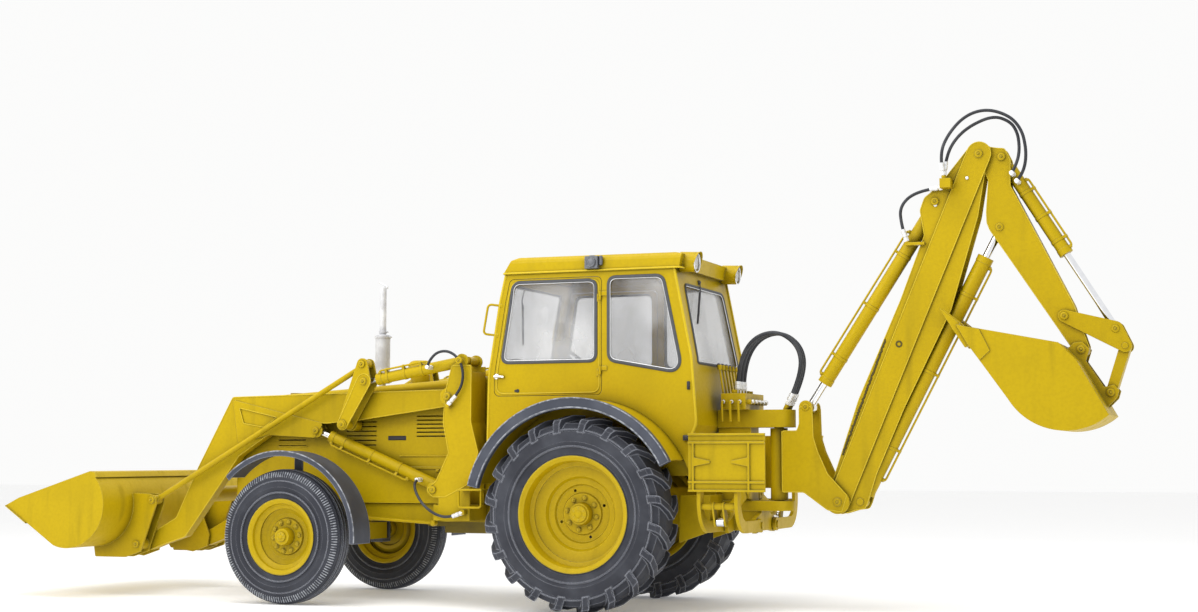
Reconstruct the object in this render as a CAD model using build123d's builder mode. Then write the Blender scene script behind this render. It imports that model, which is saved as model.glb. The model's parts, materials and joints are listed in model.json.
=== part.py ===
from build123d import *
import os
from dataclasses import dataclass
from math import radians, tan

# Backhoe loader. Millimetres; +X forward, +Y left, +Z up; Z = 0 is the ground.
# Side-view points are (x, z) from the point on the ground under the rear axle.

# ---- Driving dimensions -------------------------------------------------------------------------

wheelbase = 2320
front_track = 1620
rear_track = 1510
front_tyre_r, front_tyre_w, front_rim_r = 495, 230, 280
rear_tyre_r, rear_tyre_w, rear_rim_r = 685, 380, 406
lug_height = 38
lug_count = 20

plate = 15                  # common plate of frames and arms
sheet = 6                   # common sheet of bodywork
glass = 6
gap = 5                     # clearance between parts that move past each other
pin_fit = 0.3               # radial play of a pin in its bore
pin_r = 24

rail_y, rail_w = 245, 50    # chassis rail: inner face and width
rail_low, rail_high = 600, 730

cab_y = 610                 # outer half width of the cab
cab_wall = 35
tub_y = (rear_track - rear_tyre_w) / 2 - 35    # half width of the cab between the rear wheels
fender_r = 800              # outer radius of the rear fender about the axle
fender_y = rear_track / 2 + 150     # outer face of the steel fender
flap_y = fender_y + 50      # outer face of its rubber edge

hood_y = 330
post_in, post_out = 345, 600        # inner and outer face of a loader post
arm_in, arm_out = 365, 455          # inner and outer face of a loader arm
lift_y = (arm_in + arm_out) / 2
lever_in, lever_out = 470, 590      # outer faces of the lever's pair of plates
tilt_y = (lever_in + lever_out) / 2

# Loader pins
arm_pin = (1112, 1521)
lift_base = (1226, 842)
lift_head = (2290, 1280)
tilt_base = (1000, 1781)
lever_pin = (1990, 1322)
lever_mid = (1814, 1642)
lever_top = (1828, 1771)
bucket_pin = (3800, 404)
push_pin = (3665, 747)
bucket_y = 975              # half width of the loader bucket
bucket_depth = 947          # bucket pin to the tip

# Digging arm pins
swing_x = -1220
boom_pin = (-1670, 768)
dipper_pin = (-2680, 3160)
boom_ram_head = (-1447, 1430)
boom_ram_base = (-2372, 2846)
dipper_ram_base = (-1820, 770)
dipper_ram_head = (-2808, 2650)
hoe_ram_base = (-2830, 3135)
hoe_pin = (-3335, 1798)
rocker_pin = (-3230, 2026)
rocker_mid = (-3560, 1933)
link_pin = (-3620, 1818)
link_foot = (-3520, 1508)

web_in, web_out = 62, 74            # boom side plate
strap_out = 88                      # boom outer strap
post_plate_in, post_plate_out = 105, 123
dipper_y = 57                       # outer half width of the dipper
hoe_bucket_y = 320

# The origin lies midway between both ends
front_reach = bucket_pin[0] + bucket_depth
rear_reach = 55 - link_pin[0]
rear_axle_x = (rear_reach - front_reach) / 2

# Stabilisers: a leg turns about a fore-and-aft pin
stab_pin = (200, 600)               # (y, z)
stab_sole = 800                     # sole's distance from the middle when stowed
stab_x = (-1340, -800)              # pad's rear and front end
stab_ram_x = -1000
stab_ram_base, stab_ram_head = (150, 820), (690, 640)

# ---- Planes and shapes used all over --------------------------------------------------------------

car = Plane(origin=(rear_axle_x, 0, 0))
side = Plane(origin=car.origin, x_dir=(1, 0, 0), z_dir=(0, -1, 0))
Y = Vector(0, 1, 0)
X = Vector(1, 0, 0)
Z = Vector(0, 0, 1)


def at(x, y, z):
    """A point from the ground under the rear axle."""
    return Vector(rear_axle_x + x, y, z)


def across(x):
    """The plane across the machine at x: its own x runs left and its y up."""
    return Plane(origin=at(x, 0, 0), x_dir=(0, 1, 0), z_dir=(1, 0, 0))


def outline(points, radius=0):
    """A closed outline with one corner radius, or one for each corner."""
    with BuildLine() as line:
        if radius:
            FilletPolyline(*points, radius=radius, close=True)
        else:
            Polyline(*points, close=True)
    return line.line


def slab(points, near, far, radius=0, mode=Mode.ADD):
    """A plate from its side view, between two distances left of the middle."""
    with BuildSketch(side.offset(-far)) as face:
        add(outline(points, radius))
        make_face()
    extrude(face.sketch, amount=far - near, mode=mode)


def floor(points, low, high, radius=0, mode=Mode.ADD):
    """A plate from its plan view, between two heights."""
    with BuildSketch(car.offset(low)) as face:
        add(outline(points, radius))
        make_face()
    extrude(face.sketch, amount=high - low, mode=mode)


def wall(points, rear, front, radius=0, mode=Mode.ADD):
    """A plate from its view along the machine, between two distances ahead of the rear axle."""
    with BuildSketch(across(rear)) as face:
        add(outline(points, radius))
        make_face()
    extrude(face.sketch, amount=front - rear, mode=mode)


def block(x, y, z, mode=Mode.ADD):
    """A box between three pairs of limits."""
    with BuildSketch(car.offset(z[0])) as face:
        with Locations(((x[0] + x[1]) / 2, (y[0] + y[1]) / 2)):
            Rectangle(x[1] - x[0], y[1] - y[0])
    extrude(face.sketch, amount=z[1] - z[0], mode=mode)


def disc(centre, radius, near, far, mode=Mode.ADD):
    """A round plate or pin across the machine."""
    with BuildSketch(side.offset(-far)) as face:
        with Locations(centre):
            Circle(radius)
    extrude(face.sketch, amount=far - near, mode=mode)


def strut(start, end, radius, mode=Mode.ADD):
    """A round bar between two points."""
    run = end - start
    with BuildSketch(Plane(origin=start, z_dir=run)) as face:
        Circle(radius)
    extrude(face.sketch, amount=run.length, mode=mode)


def hub(centre, axis, radius, width, mode=Mode.ADD):
    """A round boss about any axis, half of its width on each side of the centre."""
    with BuildSketch(Plane(origin=centre, z_dir=axis)) as face:
        Circle(radius)
    extrude(face.sketch, amount=width / 2, both=True, mode=mode)


# ---- Hydraulic rams -------------------------------------------------------------------------------

@dataclass
class Ram:
    """A ram: pin of its barrel's eye, pin of its rod's eye, and its sizes."""
    base: Vector
    head: Vector
    barrel_r: float
    rod_r: float
    gland: float            # base pin to the barrel's open end
    inserted: float         # rod inside the barrel as it stands
    eye_r: float
    base_w: float           # width of the barrel's eye
    head_w: float           # width of the rod's eye
    bore: float             # pin through the barrel's eye
    neck: float = 60        # base pin to where the tube starts
    axis: Vector = Vector(0, 1, 0)

    def along(self, distance):
        return self.base + (self.head - self.base).normalized() * distance


def ram_barrel(ram):
    """Eye, tube with its closed end and gland collar, bored for the rod."""
    strut(ram.along(ram.eye_r * 0.6), ram.along(ram.neck), min(ram.barrel_r * 0.65, ram.base_w / 2))
    strut(ram.along(ram.neck), ram.along(ram.gland), ram.barrel_r)
    strut(ram.along(ram.gland - 45), ram.along(ram.gland), ram.barrel_r + 3)
    hub(ram.base, ram.axis, ram.eye_r, ram.base_w)
    hub(ram.base, ram.axis, ram.bore + pin_fit, ram.base_w + 2, Mode.SUBTRACT)
    strut(ram.along(ram.neck + 20), ram.along(ram.gland + 1), ram.rod_r + 1, Mode.SUBTRACT)


def ram_rod(ram):
    """Polished bar and its eye, which holds its own short pin between the plates of its seat."""
    length = (ram.head - ram.base).length
    strut(ram.along(ram.gland - ram.inserted), ram.along(length - ram.eye_r * 0.6), ram.rod_r)
    hub(ram.head, ram.axis, ram.eye_r, ram.head_w)


def planar(pin, y):
    return at(pin[0], y, pin[1])


lift_ram = Ram(planar(lift_base, lift_y), planar(lift_head, lift_y), 44, 25,
               gland=1035, inserted=900, eye_r=42, base_w=60, head_w=50, bore=pin_r)
tilt_ram = Ram(planar(tilt_base, tilt_y), planar(lever_mid, tilt_y), 41, 22,
               gland=735, inserted=560, eye_r=27, base_w=50, head_w=50, bore=20)
boom_ram = Ram(planar(boom_ram_base, 0), planar(boom_ram_head, 0), 50, 30,
               gland=1490, inserted=1350, eye_r=42, base_w=90, head_w=76, bore=pin_r)
dipper_ram = Ram(planar(dipper_ram_base, 0), planar(dipper_ram_head, 0), 54, 28,
                 gland=1900, inserted=1750, eye_r=42, base_w=90, head_w=70, bore=pin_r)
hoe_ram = Ram(planar(hoe_ram_base, 0), planar(rocker_mid, 0), 46, 25,
              gland=800, inserted=150, eye_r=38, base_w=80, head_w=70, bore=pin_r, neck=85)
stab_ram = Ram(at(stab_ram_x, *stab_ram_base), at(stab_ram_x, *stab_ram_head), 38, 20,
               gland=440, inserted=340, eye_r=30, base_w=50, head_w=50, bore=18, axis=X)

# ---- Hose helper and ports --------------------------------------------------------------------------

bend_share = 0.45           # part of the shorter run that each bend takes


def hose(points, radius):
    """A soft hose: straight runs joined by tangent arcs as large as the two runs beside them allow."""
    route = [at(*point) for point in points]
    radii = []
    for before, corner, after in zip(route, route[1:], route[2:]):
        turn = (corner - before).get_angle(after - corner)
        shorter = min((corner - before).length, (after - corner).length)
        radii.append(bend_share * shorter / tan(radians(turn / 2)))
    with BuildLine() as path:
        FilletPolyline(*route, radius=radii)
    with BuildSketch(Plane(origin=route[0], z_dir=route[1] - route[0])) as section:
        Circle(radius)
    sweep(section.sketch, path=path.wires()[0])
    print("hose length", round(path.wires()[0].length), "radii", [round(r) for r in radii])


def ferrule(end, root, radius):
    """The steel end fitting that a hose sits on: (x, y, z) of its face and of its foot."""
    strut(at(*root), at(*end), radius)


port_face = 80              # face of the digging bucket ram's ports, left of the middle
port_marks = (150, 215)     # the ports' places along that ram
feed_at = 265               # the port of a tilt ram along it
lift_feed_at = 185          # the port of a lift ram along it

# ---- Chassis, engine and axles --------------------------------------------------------------------

rail_front = 3060
hood_front, hood_rear = 3070, 783
hood_low, nose_high, cowl_high = 735, 1535, 1690
engine_top = 1330
axle_gap = 160                       # half length of the axle housing, which the rails end at
with BuildPart() as chassis_frame:
    block((axle_gap, rail_front), (rail_y, rail_y + rail_w), (rail_low, rail_high))
    for x in (1330, 2000, 2860):
        block((x - 20, x + 20), (rail_y + rail_w, hood_y - sheet), (rail_high - 40, hood_low + 35))
    mirror(about=Plane.XZ)
    for x, half in ((1560, 40), (wheelbase, 90), (2650, 40), (rail_front - 40, 40)):
        block((x - half, x + half), (-rail_y, rail_y), (rail_low, rail_low + 40))
    for x in (wheelbase - 75, wheelbase + 75):
        block((x - 15, x + 15), (-60, 60), (rail_low - 100, rail_low))

with BuildPart() as engine_block:
    block((1480, 2740), (-185, 185), (rail_low + 40, engine_top))
    fillet(engine_block.edges().filter_by(Axis.X), radius=40)

axle_z = rear_tyre_r
hub_face = rear_track / 2 - 180      # inner end of a rear wheel's hub
spindle_end = rear_track / 2 + 35
with BuildPart() as rear_axle:
    block((-axle_gap, axle_gap), (-190, 190), (500, 880))
    fillet(rear_axle.edges().filter_by(Axis.X), radius=50)
    block((axle_gap, 1480), (-165, 165), (rail_low - 40, 880))
    block((900, 1350), (-140, 140), (rail_low - 90, rail_low - 40))
    strut(at(0, 190, axle_z), at(0, hub_face - 35, axle_z), 95)
    strut(at(0, hub_face - 35, axle_z), at(0, hub_face - gap, axle_z), 150)
    strut(at(0, hub_face - gap, axle_z), at(0, spindle_end, axle_z), 45)
    mirror(about=Plane.XZ)

kingpin_y = front_track / 2 - 180
beam_low, beam_high = front_tyre_r - 70, front_tyre_r + 60
with BuildPart() as front_axle:
    wall([(-kingpin_y, beam_low), (kingpin_y, beam_low), (kingpin_y, beam_high),
          (300, beam_high), (160, beam_high - 30), (-160, beam_high - 30),
          (-300, beam_high), (-kingpin_y, beam_high)], wheelbase - 60, wheelbase + 60)
    for y in (-kingpin_y, kingpin_y):
        strut(at(wheelbase, y, beam_low), at(wheelbase, y, beam_high), 60)
        strut(at(wheelbase, y, beam_low), at(wheelbase, y, beam_high), pin_r + pin_fit, Mode.SUBTRACT)

# ---- Steered knuckles with their mudguards ---------------------------------------------------------


def arc_band(centre, inner, outer, start, end, near, far):
    """A band bent about a point of the side view, from one angle to another."""
    with BuildSketch(side.offset(-far)) as face:
        with BuildLine():
            low = CenterArc(centre, inner, start, end - start)
            high = CenterArc(centre, outer, start, end - start)
            Line(low @ 0, high @ 0)
            Line(low @ 1, high @ 1)
        make_face()
    extrude(face.sketch, amount=far - near)


guard_r = 620                        # inner radius of the front mudguard
guard_sheet = 10
guard_from, guard_to = 44, 184       # degrees, from straight ahead over the top
guard_y = (front_track / 2 - 120, front_track / 2 + 125)
web_y = kingpin_y + 85               # outer face of the knuckle, 5 mm short of the rim's hub
with BuildPart() as knuckle_left:
    for low, high in ((beam_low - 30, beam_low - 2), (beam_high + 2, beam_high + 30)):
        floor([(wheelbase - 55, kingpin_y - 55), (wheelbase + 55, kingpin_y - 55),
               (wheelbase + 55, web_y), (wheelbase - 55, web_y)], low, high, radius=20)
    block((wheelbase - 55, wheelbase + 55), (web_y - 20, web_y), (beam_low - 30, beam_high + 30))
    strut(at(wheelbase, kingpin_y, beam_low - 2), at(wheelbase, kingpin_y, beam_high + 2), pin_r)
    strut(at(wheelbase, web_y, front_tyre_r), at(wheelbase, front_track / 2 + 60, front_tyre_r), 32)
    guard_z = front_tyre_r + guard_r
    block((wheelbase - 35, wheelbase + 35), (kingpin_y + 15, kingpin_y + 27), (beam_high + 30, guard_z - 3))
    block((wheelbase - 35, wheelbase + 35), (kingpin_y + 15, guard_y[1] - 40), (guard_z - 15, guard_z + 5))
    wheel_centre = (wheelbase, front_tyre_r)
    arc_band(wheel_centre, guard_r, guard_r + guard_sheet, guard_from, guard_to, *guard_y)
    arc_band(wheel_centre, guard_r - 28, guard_r + guard_sheet, guard_from, guard_to,
             guard_y[1] - 8, guard_y[1])
with BuildPart() as knuckle_right:
    mirror(knuckle_left.part, about=Plane.XZ)

# ---- Wheels ---------------------------------------------------------------------------------------


def wheel_plane(x, y, z):
    """Origin at the wheel's centre, x outward along the axle, y up."""
    return Plane(origin=at(x, y, z), x_dir=(0, 1, 0), z_dir=(1, 0, 0))


def turned(plane, points, radius=0, mode=Mode.ADD):
    """A ring turned about a wheel's axle from its (outward, radial) section."""
    with BuildSketch(plane) as face:
        add(outline(points, radius))
        make_face()
    revolve(face.sketch, axis=Axis(plane.origin, plane.x_dir), mode=mode)


rear_wheel = wheel_plane(0, rear_track / 2, rear_tyre_r)
front_wheel = wheel_plane(wheelbase, front_track / 2, front_tyre_r)
rear_rim_w, front_rim_w = 330, 190

rim_sheet = 11


def rim(plane, half, r, well, dish, bore, hub_out, hub_in):
    """Wheel rim: a dropped-centre barrel, a dished disc and a hub with a bore for the spindle.

    dish lists the disc's outer face from the barrel to the hub as (outward, radial).
    """
    barrel = [(-half, r), (-half + 14, r - 24), (-half + 40, r - 29), (-well - 15, r - 36), (-well, r - 62),
              (well, r - 62), (well + 15, r - 36), (half - 40, r - 29), (half - 14, r - 24), (half, r)]
    turned(plane, barrel + [(x, y - rim_sheet) for x, y in reversed(barrel)])
    turned(plane, dish + [(x - rim_sheet, y) for x, y in reversed(dish)])
    turned(plane, [(hub_in, bore), (hub_in, dish[-1][1] + 8), (dish[-1][0] + 6, dish[-1][1] + 8),
                   (hub_out, bore + 26), (hub_out, bore)])


with BuildPart() as rear_rim_left:
    rim(rear_wheel, rear_rim_w / 2, rear_rim_r, 48,
        [(34, rear_rim_r - 66), (16, 262), (-14, 244), (-20, 208),
         (-38, 196), (-38, 150), (-24, 140), (-24, 75)],
        46, 34, hub_face - rear_track / 2)
    with BuildSketch(Plane(rear_wheel.origin, x_dir=(1, 0, 0), z_dir=(0, 1, 0)).offset(-80)) as holes:
        with PolarLocations(170, 4, start_angle=20):
            Circle(11)
    extrude(holes.sketch, amount=80, mode=Mode.SUBTRACT)

with BuildPart() as front_rim_left:
    rim(front_wheel, front_rim_w / 2, front_rim_r, 34,
        [(20, front_rim_r - 66), (0, 186), (-12, 168), (-12, 140), (4, 130), (4, 62)],
        32 + 0.5, 74, web_y + gap - front_track / 2)
with BuildPart() as rear_rim_right:
    mirror(rear_rim_left.part, about=Plane.XZ)
with BuildPart() as front_rim_right:
    mirror(front_rim_left.part, about=Plane.XZ)

# Tyres: a turned carcass, and for the rear ones bar lugs cut to the tread's outer form
rear_base = rear_tyre_r - lug_height
with BuildPart() as rear_tyre_left:
    h, w = rear_rim_w / 2, rear_tyre_w / 2
    turned(rear_wheel, [
        (-h + 40, rear_rim_r - 29), (-h + 14, rear_rim_r - 24), (-h + 7, rear_rim_r - 12),
        (-h + 7, rear_rim_r + 14), (-w, rear_rim_r + 95), (-w + 8, rear_base - 75),
        (-w + 45, rear_base - 18), (-60, rear_base), (60, rear_base), (w - 45, rear_base - 18),
        (w - 8, rear_base - 75), (w, rear_rim_r + 95), (h - 7, rear_rim_r + 14),
        (h - 7, rear_rim_r - 12), (h - 14, rear_rim_r - 24), (h - 40, rear_rim_r - 29)])
with BuildPart() as rear_lugs:
    lug_length, lug_w = 245, 46
    for sign in (1, -1):
        spin = 0 if sign > 0 else 180 / lug_count
        lug_floor = Plane(rear_wheel.origin + Z * (rear_base - 95), x_dir=(1, 0, 0), z_dir=(0, 0, 1))
        with BuildSketch(lug_floor) as foot:
            with Locations(Location((sign * 52, sign * 92, 0), (0, 0, 90 - sign * 32))):
                Rectangle(lug_length, lug_w)
        lug = extrude(foot.sketch, amount=95 + lug_height + 20, mode=Mode.PRIVATE)
        for k in range(lug_count):
            add(lug.rotate(Axis(rear_wheel.origin, rear_wheel.x_dir), spin + 360 / lug_count * k))
with BuildPart() as lug_form:
    turned(rear_wheel, [
        (-w - 0, rear_base - 80), (-w - 0, rear_base - 20), (-w + 14, rear_tyre_r - 26), (-90, rear_tyre_r),
        (90, rear_tyre_r), (w - 14, rear_tyre_r - 26), (w, rear_base - 20), (w, rear_base - 80)])
with BuildPart() as lug_ring:
    add(rear_lugs.part)
    add(lug_form.part, mode=Mode.INTERSECT)
with rear_tyre_left:
    add(lug_ring.part)
with BuildPart() as rear_tyre_right:
    mirror(rear_tyre_left.part, about=Plane.XZ)

rib_groove = 9
with BuildPart() as front_tyre_left:
    h, w, r = front_rim_w / 2, front_tyre_w / 2, front_tyre_r
    turned(front_wheel, [
        (-h + 40, front_rim_r - 29), (-h + 14, front_rim_r - 24), (-h + 7, front_rim_r - 12),
        (-h + 7, front_rim_r + 12), (-w, front_rim_r + 85), (-w + 6, r - 62),
        (-w + 22, r - 26), (-w + 40, r - 10), (-48, r - 3),
        (-44, r - 3 - rib_groove), (-36, r - 3 - rib_groove),
        (-32, r), (-6, r), (-4, r - rib_groove), (4, r - rib_groove), (6, r), (32, r),
        (36, r - 3 - rib_groove), (44, r - 3 - rib_groove), (48, r - 3), (w - 40, r - 10), (w - 22, r - 26),
        (w - 6, r - 62), (w, front_rim_r + 85), (h - 7, front_rim_r + 12),
        (h - 7, front_rim_r - 12), (h - 14, front_rim_r - 24), (h - 40, front_rim_r - 29)])
with BuildPart() as front_tyre_right:
    mirror(front_tyre_left.part, about=Plane.XZ)

# ---- Hood, exhaust and air cleaner ----------------------------------------------------------------

hood_slope = (cowl_high - nose_high) / (hood_front - hood_rear)


def hood_top(x):
    return nose_high + (hood_front - x) * hood_slope


exhaust_x, muffler_r, pipe_r = 1970, 58, 26
cleaner_x = 1640
hood_side = [(hood_rear, hood_low), (hood_front, hood_low), (hood_front, nose_high), (hood_rear, cowl_high)]
with BuildPart() as pre_cleaner:
    for low, high, radius in ((-30, 80, 75), (75, 140, 45), (130, 190, 95)):
        seat = hood_top(cleaner_x)
        strut(at(cleaner_x, 0, seat + low), at(cleaner_x, 0, seat + high), radius)
    fillet(pre_cleaner.edges().group_by(Axis.Z)[-1], radius=48)
    slab(hood_side, -hood_y, hood_y, mode=Mode.SUBTRACT)

hood_shoulder, hood_brow = 50, 20     # outer radii along the top edges and across the nose
with BuildPart() as hood_room:
    slab([(hood_rear - 1, hood_low - 1), (hood_front - sheet, hood_low - 1),
          (hood_front - sheet, hood_top(hood_front) - sheet), (hood_rear - 1, hood_top(hood_rear) - sheet)],
         -hood_y + sheet, hood_y - sheet)
    fillet(hood_room.edges().filter_by(lambda e: abs((e @ 1 - e @ 0).Y) < 1).group_by(Axis.Z)[-1],
           radius=hood_shoulder - sheet)
    fillet(hood_room.faces().sort_by(Axis.X)[-1].edges().group_by(Axis.Z)[-1], radius=hood_brow - sheet)
with BuildPart() as hood:
    slab(hood_side, -hood_y, hood_y)
    fillet(hood.edges().filter_by(lambda e: abs((e @ 1 - e @ 0).Y) < 1).group_by(Axis.Z)[-1],
           radius=hood_shoulder)
    fillet(hood.faces().sort_by(Axis.X)[-1].edges().group_by(Axis.Z)[-1], radius=hood_brow)
    add(hood_room.part, mode=Mode.SUBTRACT)
    strut(at(exhaust_x, 0, engine_top), at(exhaust_x, 0, cowl_high), pipe_r + gap, Mode.SUBTRACT)
    # Louvres: (foremost end, rearmost end, lowest, highest, number)
    for front, rear, low, high, number in ((2100, 1840, 1170, 1345, 6), (1500, 1260, 1235, 1385, 6),
                                           (2690, 2450, 1165, 1210, 2)):
        for k in range(number):
            z = low + (high - low) * k / (number - 1)
            block((rear, front), (-hood_y - 1, hood_y + 1), (z - 5, z + 5), Mode.SUBTRACT)
    # Grille slots in the nose
    for k in range(9):
        z = 820 + 58 * k
        block((hood_front - 50, hood_front + 1), (-230, 230), (z, z + 28), Mode.SUBTRACT)
    # Waist strake
    slab([(1240, 990), (1640, 990), (1640, 1006), (1240, 1006)], hood_y, hood_y + 6)
    slab([(1240, 990), (1640, 990), (1640, 1006), (1240, 1006)], -hood_y - 6, -hood_y)
    cap_x = 2700
    strut(at(cap_x, 60, hood_top(cap_x) - sheet), at(cap_x, 60, hood_top(cap_x) + 22), 48)
    add(pre_cleaner.part)

muffler_low, muffler_top, pipe_top = 1650, 2030, 2400
with BuildPart() as exhaust:
    strut(at(exhaust_x, 0, engine_top), at(exhaust_x, 0, muffler_low + 5), pipe_r)
    strut(at(exhaust_x, 0, muffler_low), at(exhaust_x, 0, muffler_top), muffler_r)
    fillet(exhaust.edges().group_by(Axis.Z)[-1], radius=18)
    strut(at(exhaust_x, 0, muffler_top - 5), at(exhaust_x, 0, pipe_top), pipe_r)
    strut(at(exhaust_x, 0, muffler_top + 60), at(exhaust_x, 0, pipe_top + 1), pipe_r - 3, Mode.SUBTRACT)
    strut(at(exhaust_x - 40, 0, pipe_top + 2), at(exhaust_x + 34, 0, pipe_top + 40), 6)
    strut(at(exhaust_x - 34, 0, pipe_top - 10), at(exhaust_x - 34, 0, pipe_top + 10), 8)
    strut(at(exhaust_x - 34, 0, pipe_top - 6), at(exhaust_x - 20, 0, pipe_top - 6), 6)

# ---- Cab ------------------------------------------------------------------------------------------

floor_z, roof_z = 950, 2400
cab_side = [(783, floor_z), (783, 1206), (775, 1664), (691, 2191), (643, roof_z), (-640, roof_z),
            (-765, 1774), (-800, 1301), (-760, 1230), (-760, floor_z)]
door_side = [(-100, 1515), (-100, 2360), (612, 2360), (648, 2191), (735, 1664), (735, 1515)]
door_window = [(-56, 1757), (-56, 2335), (588, 2335), (604, 2191), (676, 1757)]
rear_window_side = [(-150, 1760), (-150, 2350), (-560, 2350), (-690, 1730), (-640, 1672)]
sill = 12                              # glass stands this far inside the outer face
hinge_r, hinge_z = 9, (1690, 2220)     # door hinges: knuckle radius, and height of each one's middle
hinge_x, hinge_y = -90, cab_y + hinge_r

with BuildPart() as cab_body:
    slab(cab_side, -cab_y, cab_y)
    inner = cab_y - cab_wall
    slab([(745, floor_z + 40), (745, 1206), (738, 1660), (655, 2188), (610, roof_z + 1), (-600, roof_z + 1),
          (-727, 1774), (-762, 1301), (-722, 1235), (-722, floor_z + 40)], -inner, inner, mode=Mode.SUBTRACT)
    for y in (1, -1):
        low, high = sorted((y * tub_y, y * (cab_y + 1)))
        disc((0, rear_tyre_r), fender_r + 2, low, high, Mode.SUBTRACT)
        low, high = sorted((y * tub_y, y * (tub_y - cab_wall)))
        with BuildSketch(side.offset(-high)) as tub:
            with Locations((0, rear_tyre_r)):
                Circle(fender_r + 5)
            with Locations((0, floor_z - fender_r)):
                Rectangle(3 * fender_r, 2 * fender_r, mode=Mode.SUBTRACT)
        extrude(tub.sketch, amount=high - low)
        low, high = sorted((y * (inner - 1), y * (cab_y + 1)))
        slab(door_side, low, high, radius=40, mode=Mode.SUBTRACT)
        slab(rear_window_side, low, high, radius=45, mode=Mode.SUBTRACT)
        for z in hinge_z:
            strut(at(hinge_x, y * hinge_y, z), at(hinge_x, y * hinge_y, z + 30), hinge_r)
            low, high = sorted((y * (cab_y + 2), y * (cab_y + 7)))
            block((-140, hinge_x), (low, high), (z, z + 30))
            low, high = sorted((y * cab_y, y * (cab_y + 2)))
            block((-140, -104), (low, high), (z, z + 30))
    wall([(-500, 1735), (500, 1735), (470, 2330), (-470, 2330)], 620, 790, radius=45, mode=Mode.SUBTRACT)
    wall([(-480, 1735), (480, 1735), (450, 2300), (-450, 2300)], -790, -620, radius=45, mode=Mode.SUBTRACT)

door_gap = 4
with BuildPart() as door_left:
    inner = cab_y - cab_wall
    slab([(-100 + door_gap, 1515 + door_gap), (-100 + door_gap, 2360 - door_gap),
          (612 - door_gap, 2360 - door_gap),
          (648 - door_gap, 2191), (735 - door_gap, 1664), (735 - door_gap, 1515 + door_gap)],
         inner, cab_y, radius=36)
    slab(door_window, inner - 1, cab_y + 1, radius=50, mode=Mode.SUBTRACT)
    # Handle and hinge knuckles
    block((660, 720), (cab_y, cab_y + 22), (1652, 1664))
    for z in hinge_z:
        strut(at(hinge_x, hinge_y, z - 30), at(hinge_x, hinge_y, z), hinge_r)
with BuildPart() as door_right:
    mirror(door_left.part, about=Plane.XZ)

seal = 1
with BuildPart() as door_glass_left:
    slab([(-56 + seal, 1757 + seal), (-56 + seal, 2335 - seal), (588 - seal, 2335 - seal),
          (604 - seal, 2191), (676 - seal, 1757 + seal)],
         cab_y - sill - glass, cab_y - sill, radius=49)
with BuildPart() as door_glass_right:
    mirror(door_glass_left.part, about=Plane.XZ)

with BuildPart() as cab_glass:
    for y in (1, -1):
        low, high = sorted((y * (cab_y - sill - glass), y * (cab_y - sill)))
        slab([(-150 - seal, 1760 + seal), (-150 - seal, 2350 - seal), (-560 + seal, 2350 - seal),
              (-690 + seal, 1730), (-640, 1672 + seal)], low, high, radius=44)


def leaning_pane(foot, head, points, thickness):
    """A flat pane across the machine that leans from a foot to a head point of the side view."""
    run = at(head[0], 0, head[1]) - at(foot[0], 0, foot[1])
    with BuildSketch(Plane(at(foot[0], 0, foot[1]), x_dir=(0, 1, 0), z_dir=Y.cross(run))) as pane:
        add(outline(points, 44))
        make_face()
    extrude(pane.sketch, amount=thickness / 2, both=True)


with cab_glass:
    leaning_pane((764, 1640), (674, 2191),
                 [(-500 + seal, 97), (500 - seal, 97), (469, 694), (-469, 694)], glass)
    leaning_pane((-746, 1774), (-628, 2380),
                 [(-480 + seal, -38), (480 - seal, -38), (449, 534), (-449, 534)], glass)

hatch = (-370, 200)
with BuildPart() as cab_roof:
    slab([(660, roof_z), (600, roof_z + 95), (540, roof_z + 118), (-640, roof_z + 112), (-700, roof_z + 100),
          (-680, roof_z)], -cab_y - 10, cab_y + 10)
    fillet(cab_roof.edges().filter_by(Axis.X, tolerance=3).group_by(Axis.Z)[-1], radius=45)
    slab([(620, roof_z - 1), (570, roof_z + 70), (-620, roof_z + 70), (-640, roof_z - 1)],
         -cab_y + 40, cab_y - 40, mode=Mode.SUBTRACT)
    block(hatch, (-260, 260), (roof_z + 105, roof_z + 145))
    # Work lamp housings at the sides, lamp pods at the rear corners
    for y in (1, -1):
        low, high = sorted((y * (cab_y - 30), y * (cab_y + 55)))
        block((-85, 5), (low, high), (roof_z + 15, roof_z + 95))
    for y in (-490, 490):
        strut(at(-770, y, roof_z + 45), at(-655, y, roof_z + 50), 72)
        strut(at(-771, y, roof_z + 45), at(-720, y, roof_z + 47.4), 62, Mode.SUBTRACT)

with BuildPart() as lamps:
    for y in (-490, 490):
        strut(at(-762, y, roof_z + 45.4), at(-722, y, roof_z + 47.3), 61.7)
    for y in (-170, 170):
        strut(at(hood_front, y, 770), at(hood_front + 35, y, 770), 62)

# ---- Rear fenders ---------------------------------------------------------------------------------

fender_sheet = 12
with BuildPart() as rear_fenders:
    arc_band((0, axle_z), fender_r - fender_sheet, fender_r, 15, 152, tub_y, fender_y)
    mirror(about=Plane.XZ)
with BuildPart() as fender_flaps:
    arc_band((0, axle_z), fender_r - 70, fender_r + 6, 14, 153, fender_y + 0.3, flap_y)
    mirror(about=Plane.XZ)

# ---- Cab interior ---------------------------------------------------------------------------------

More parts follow.
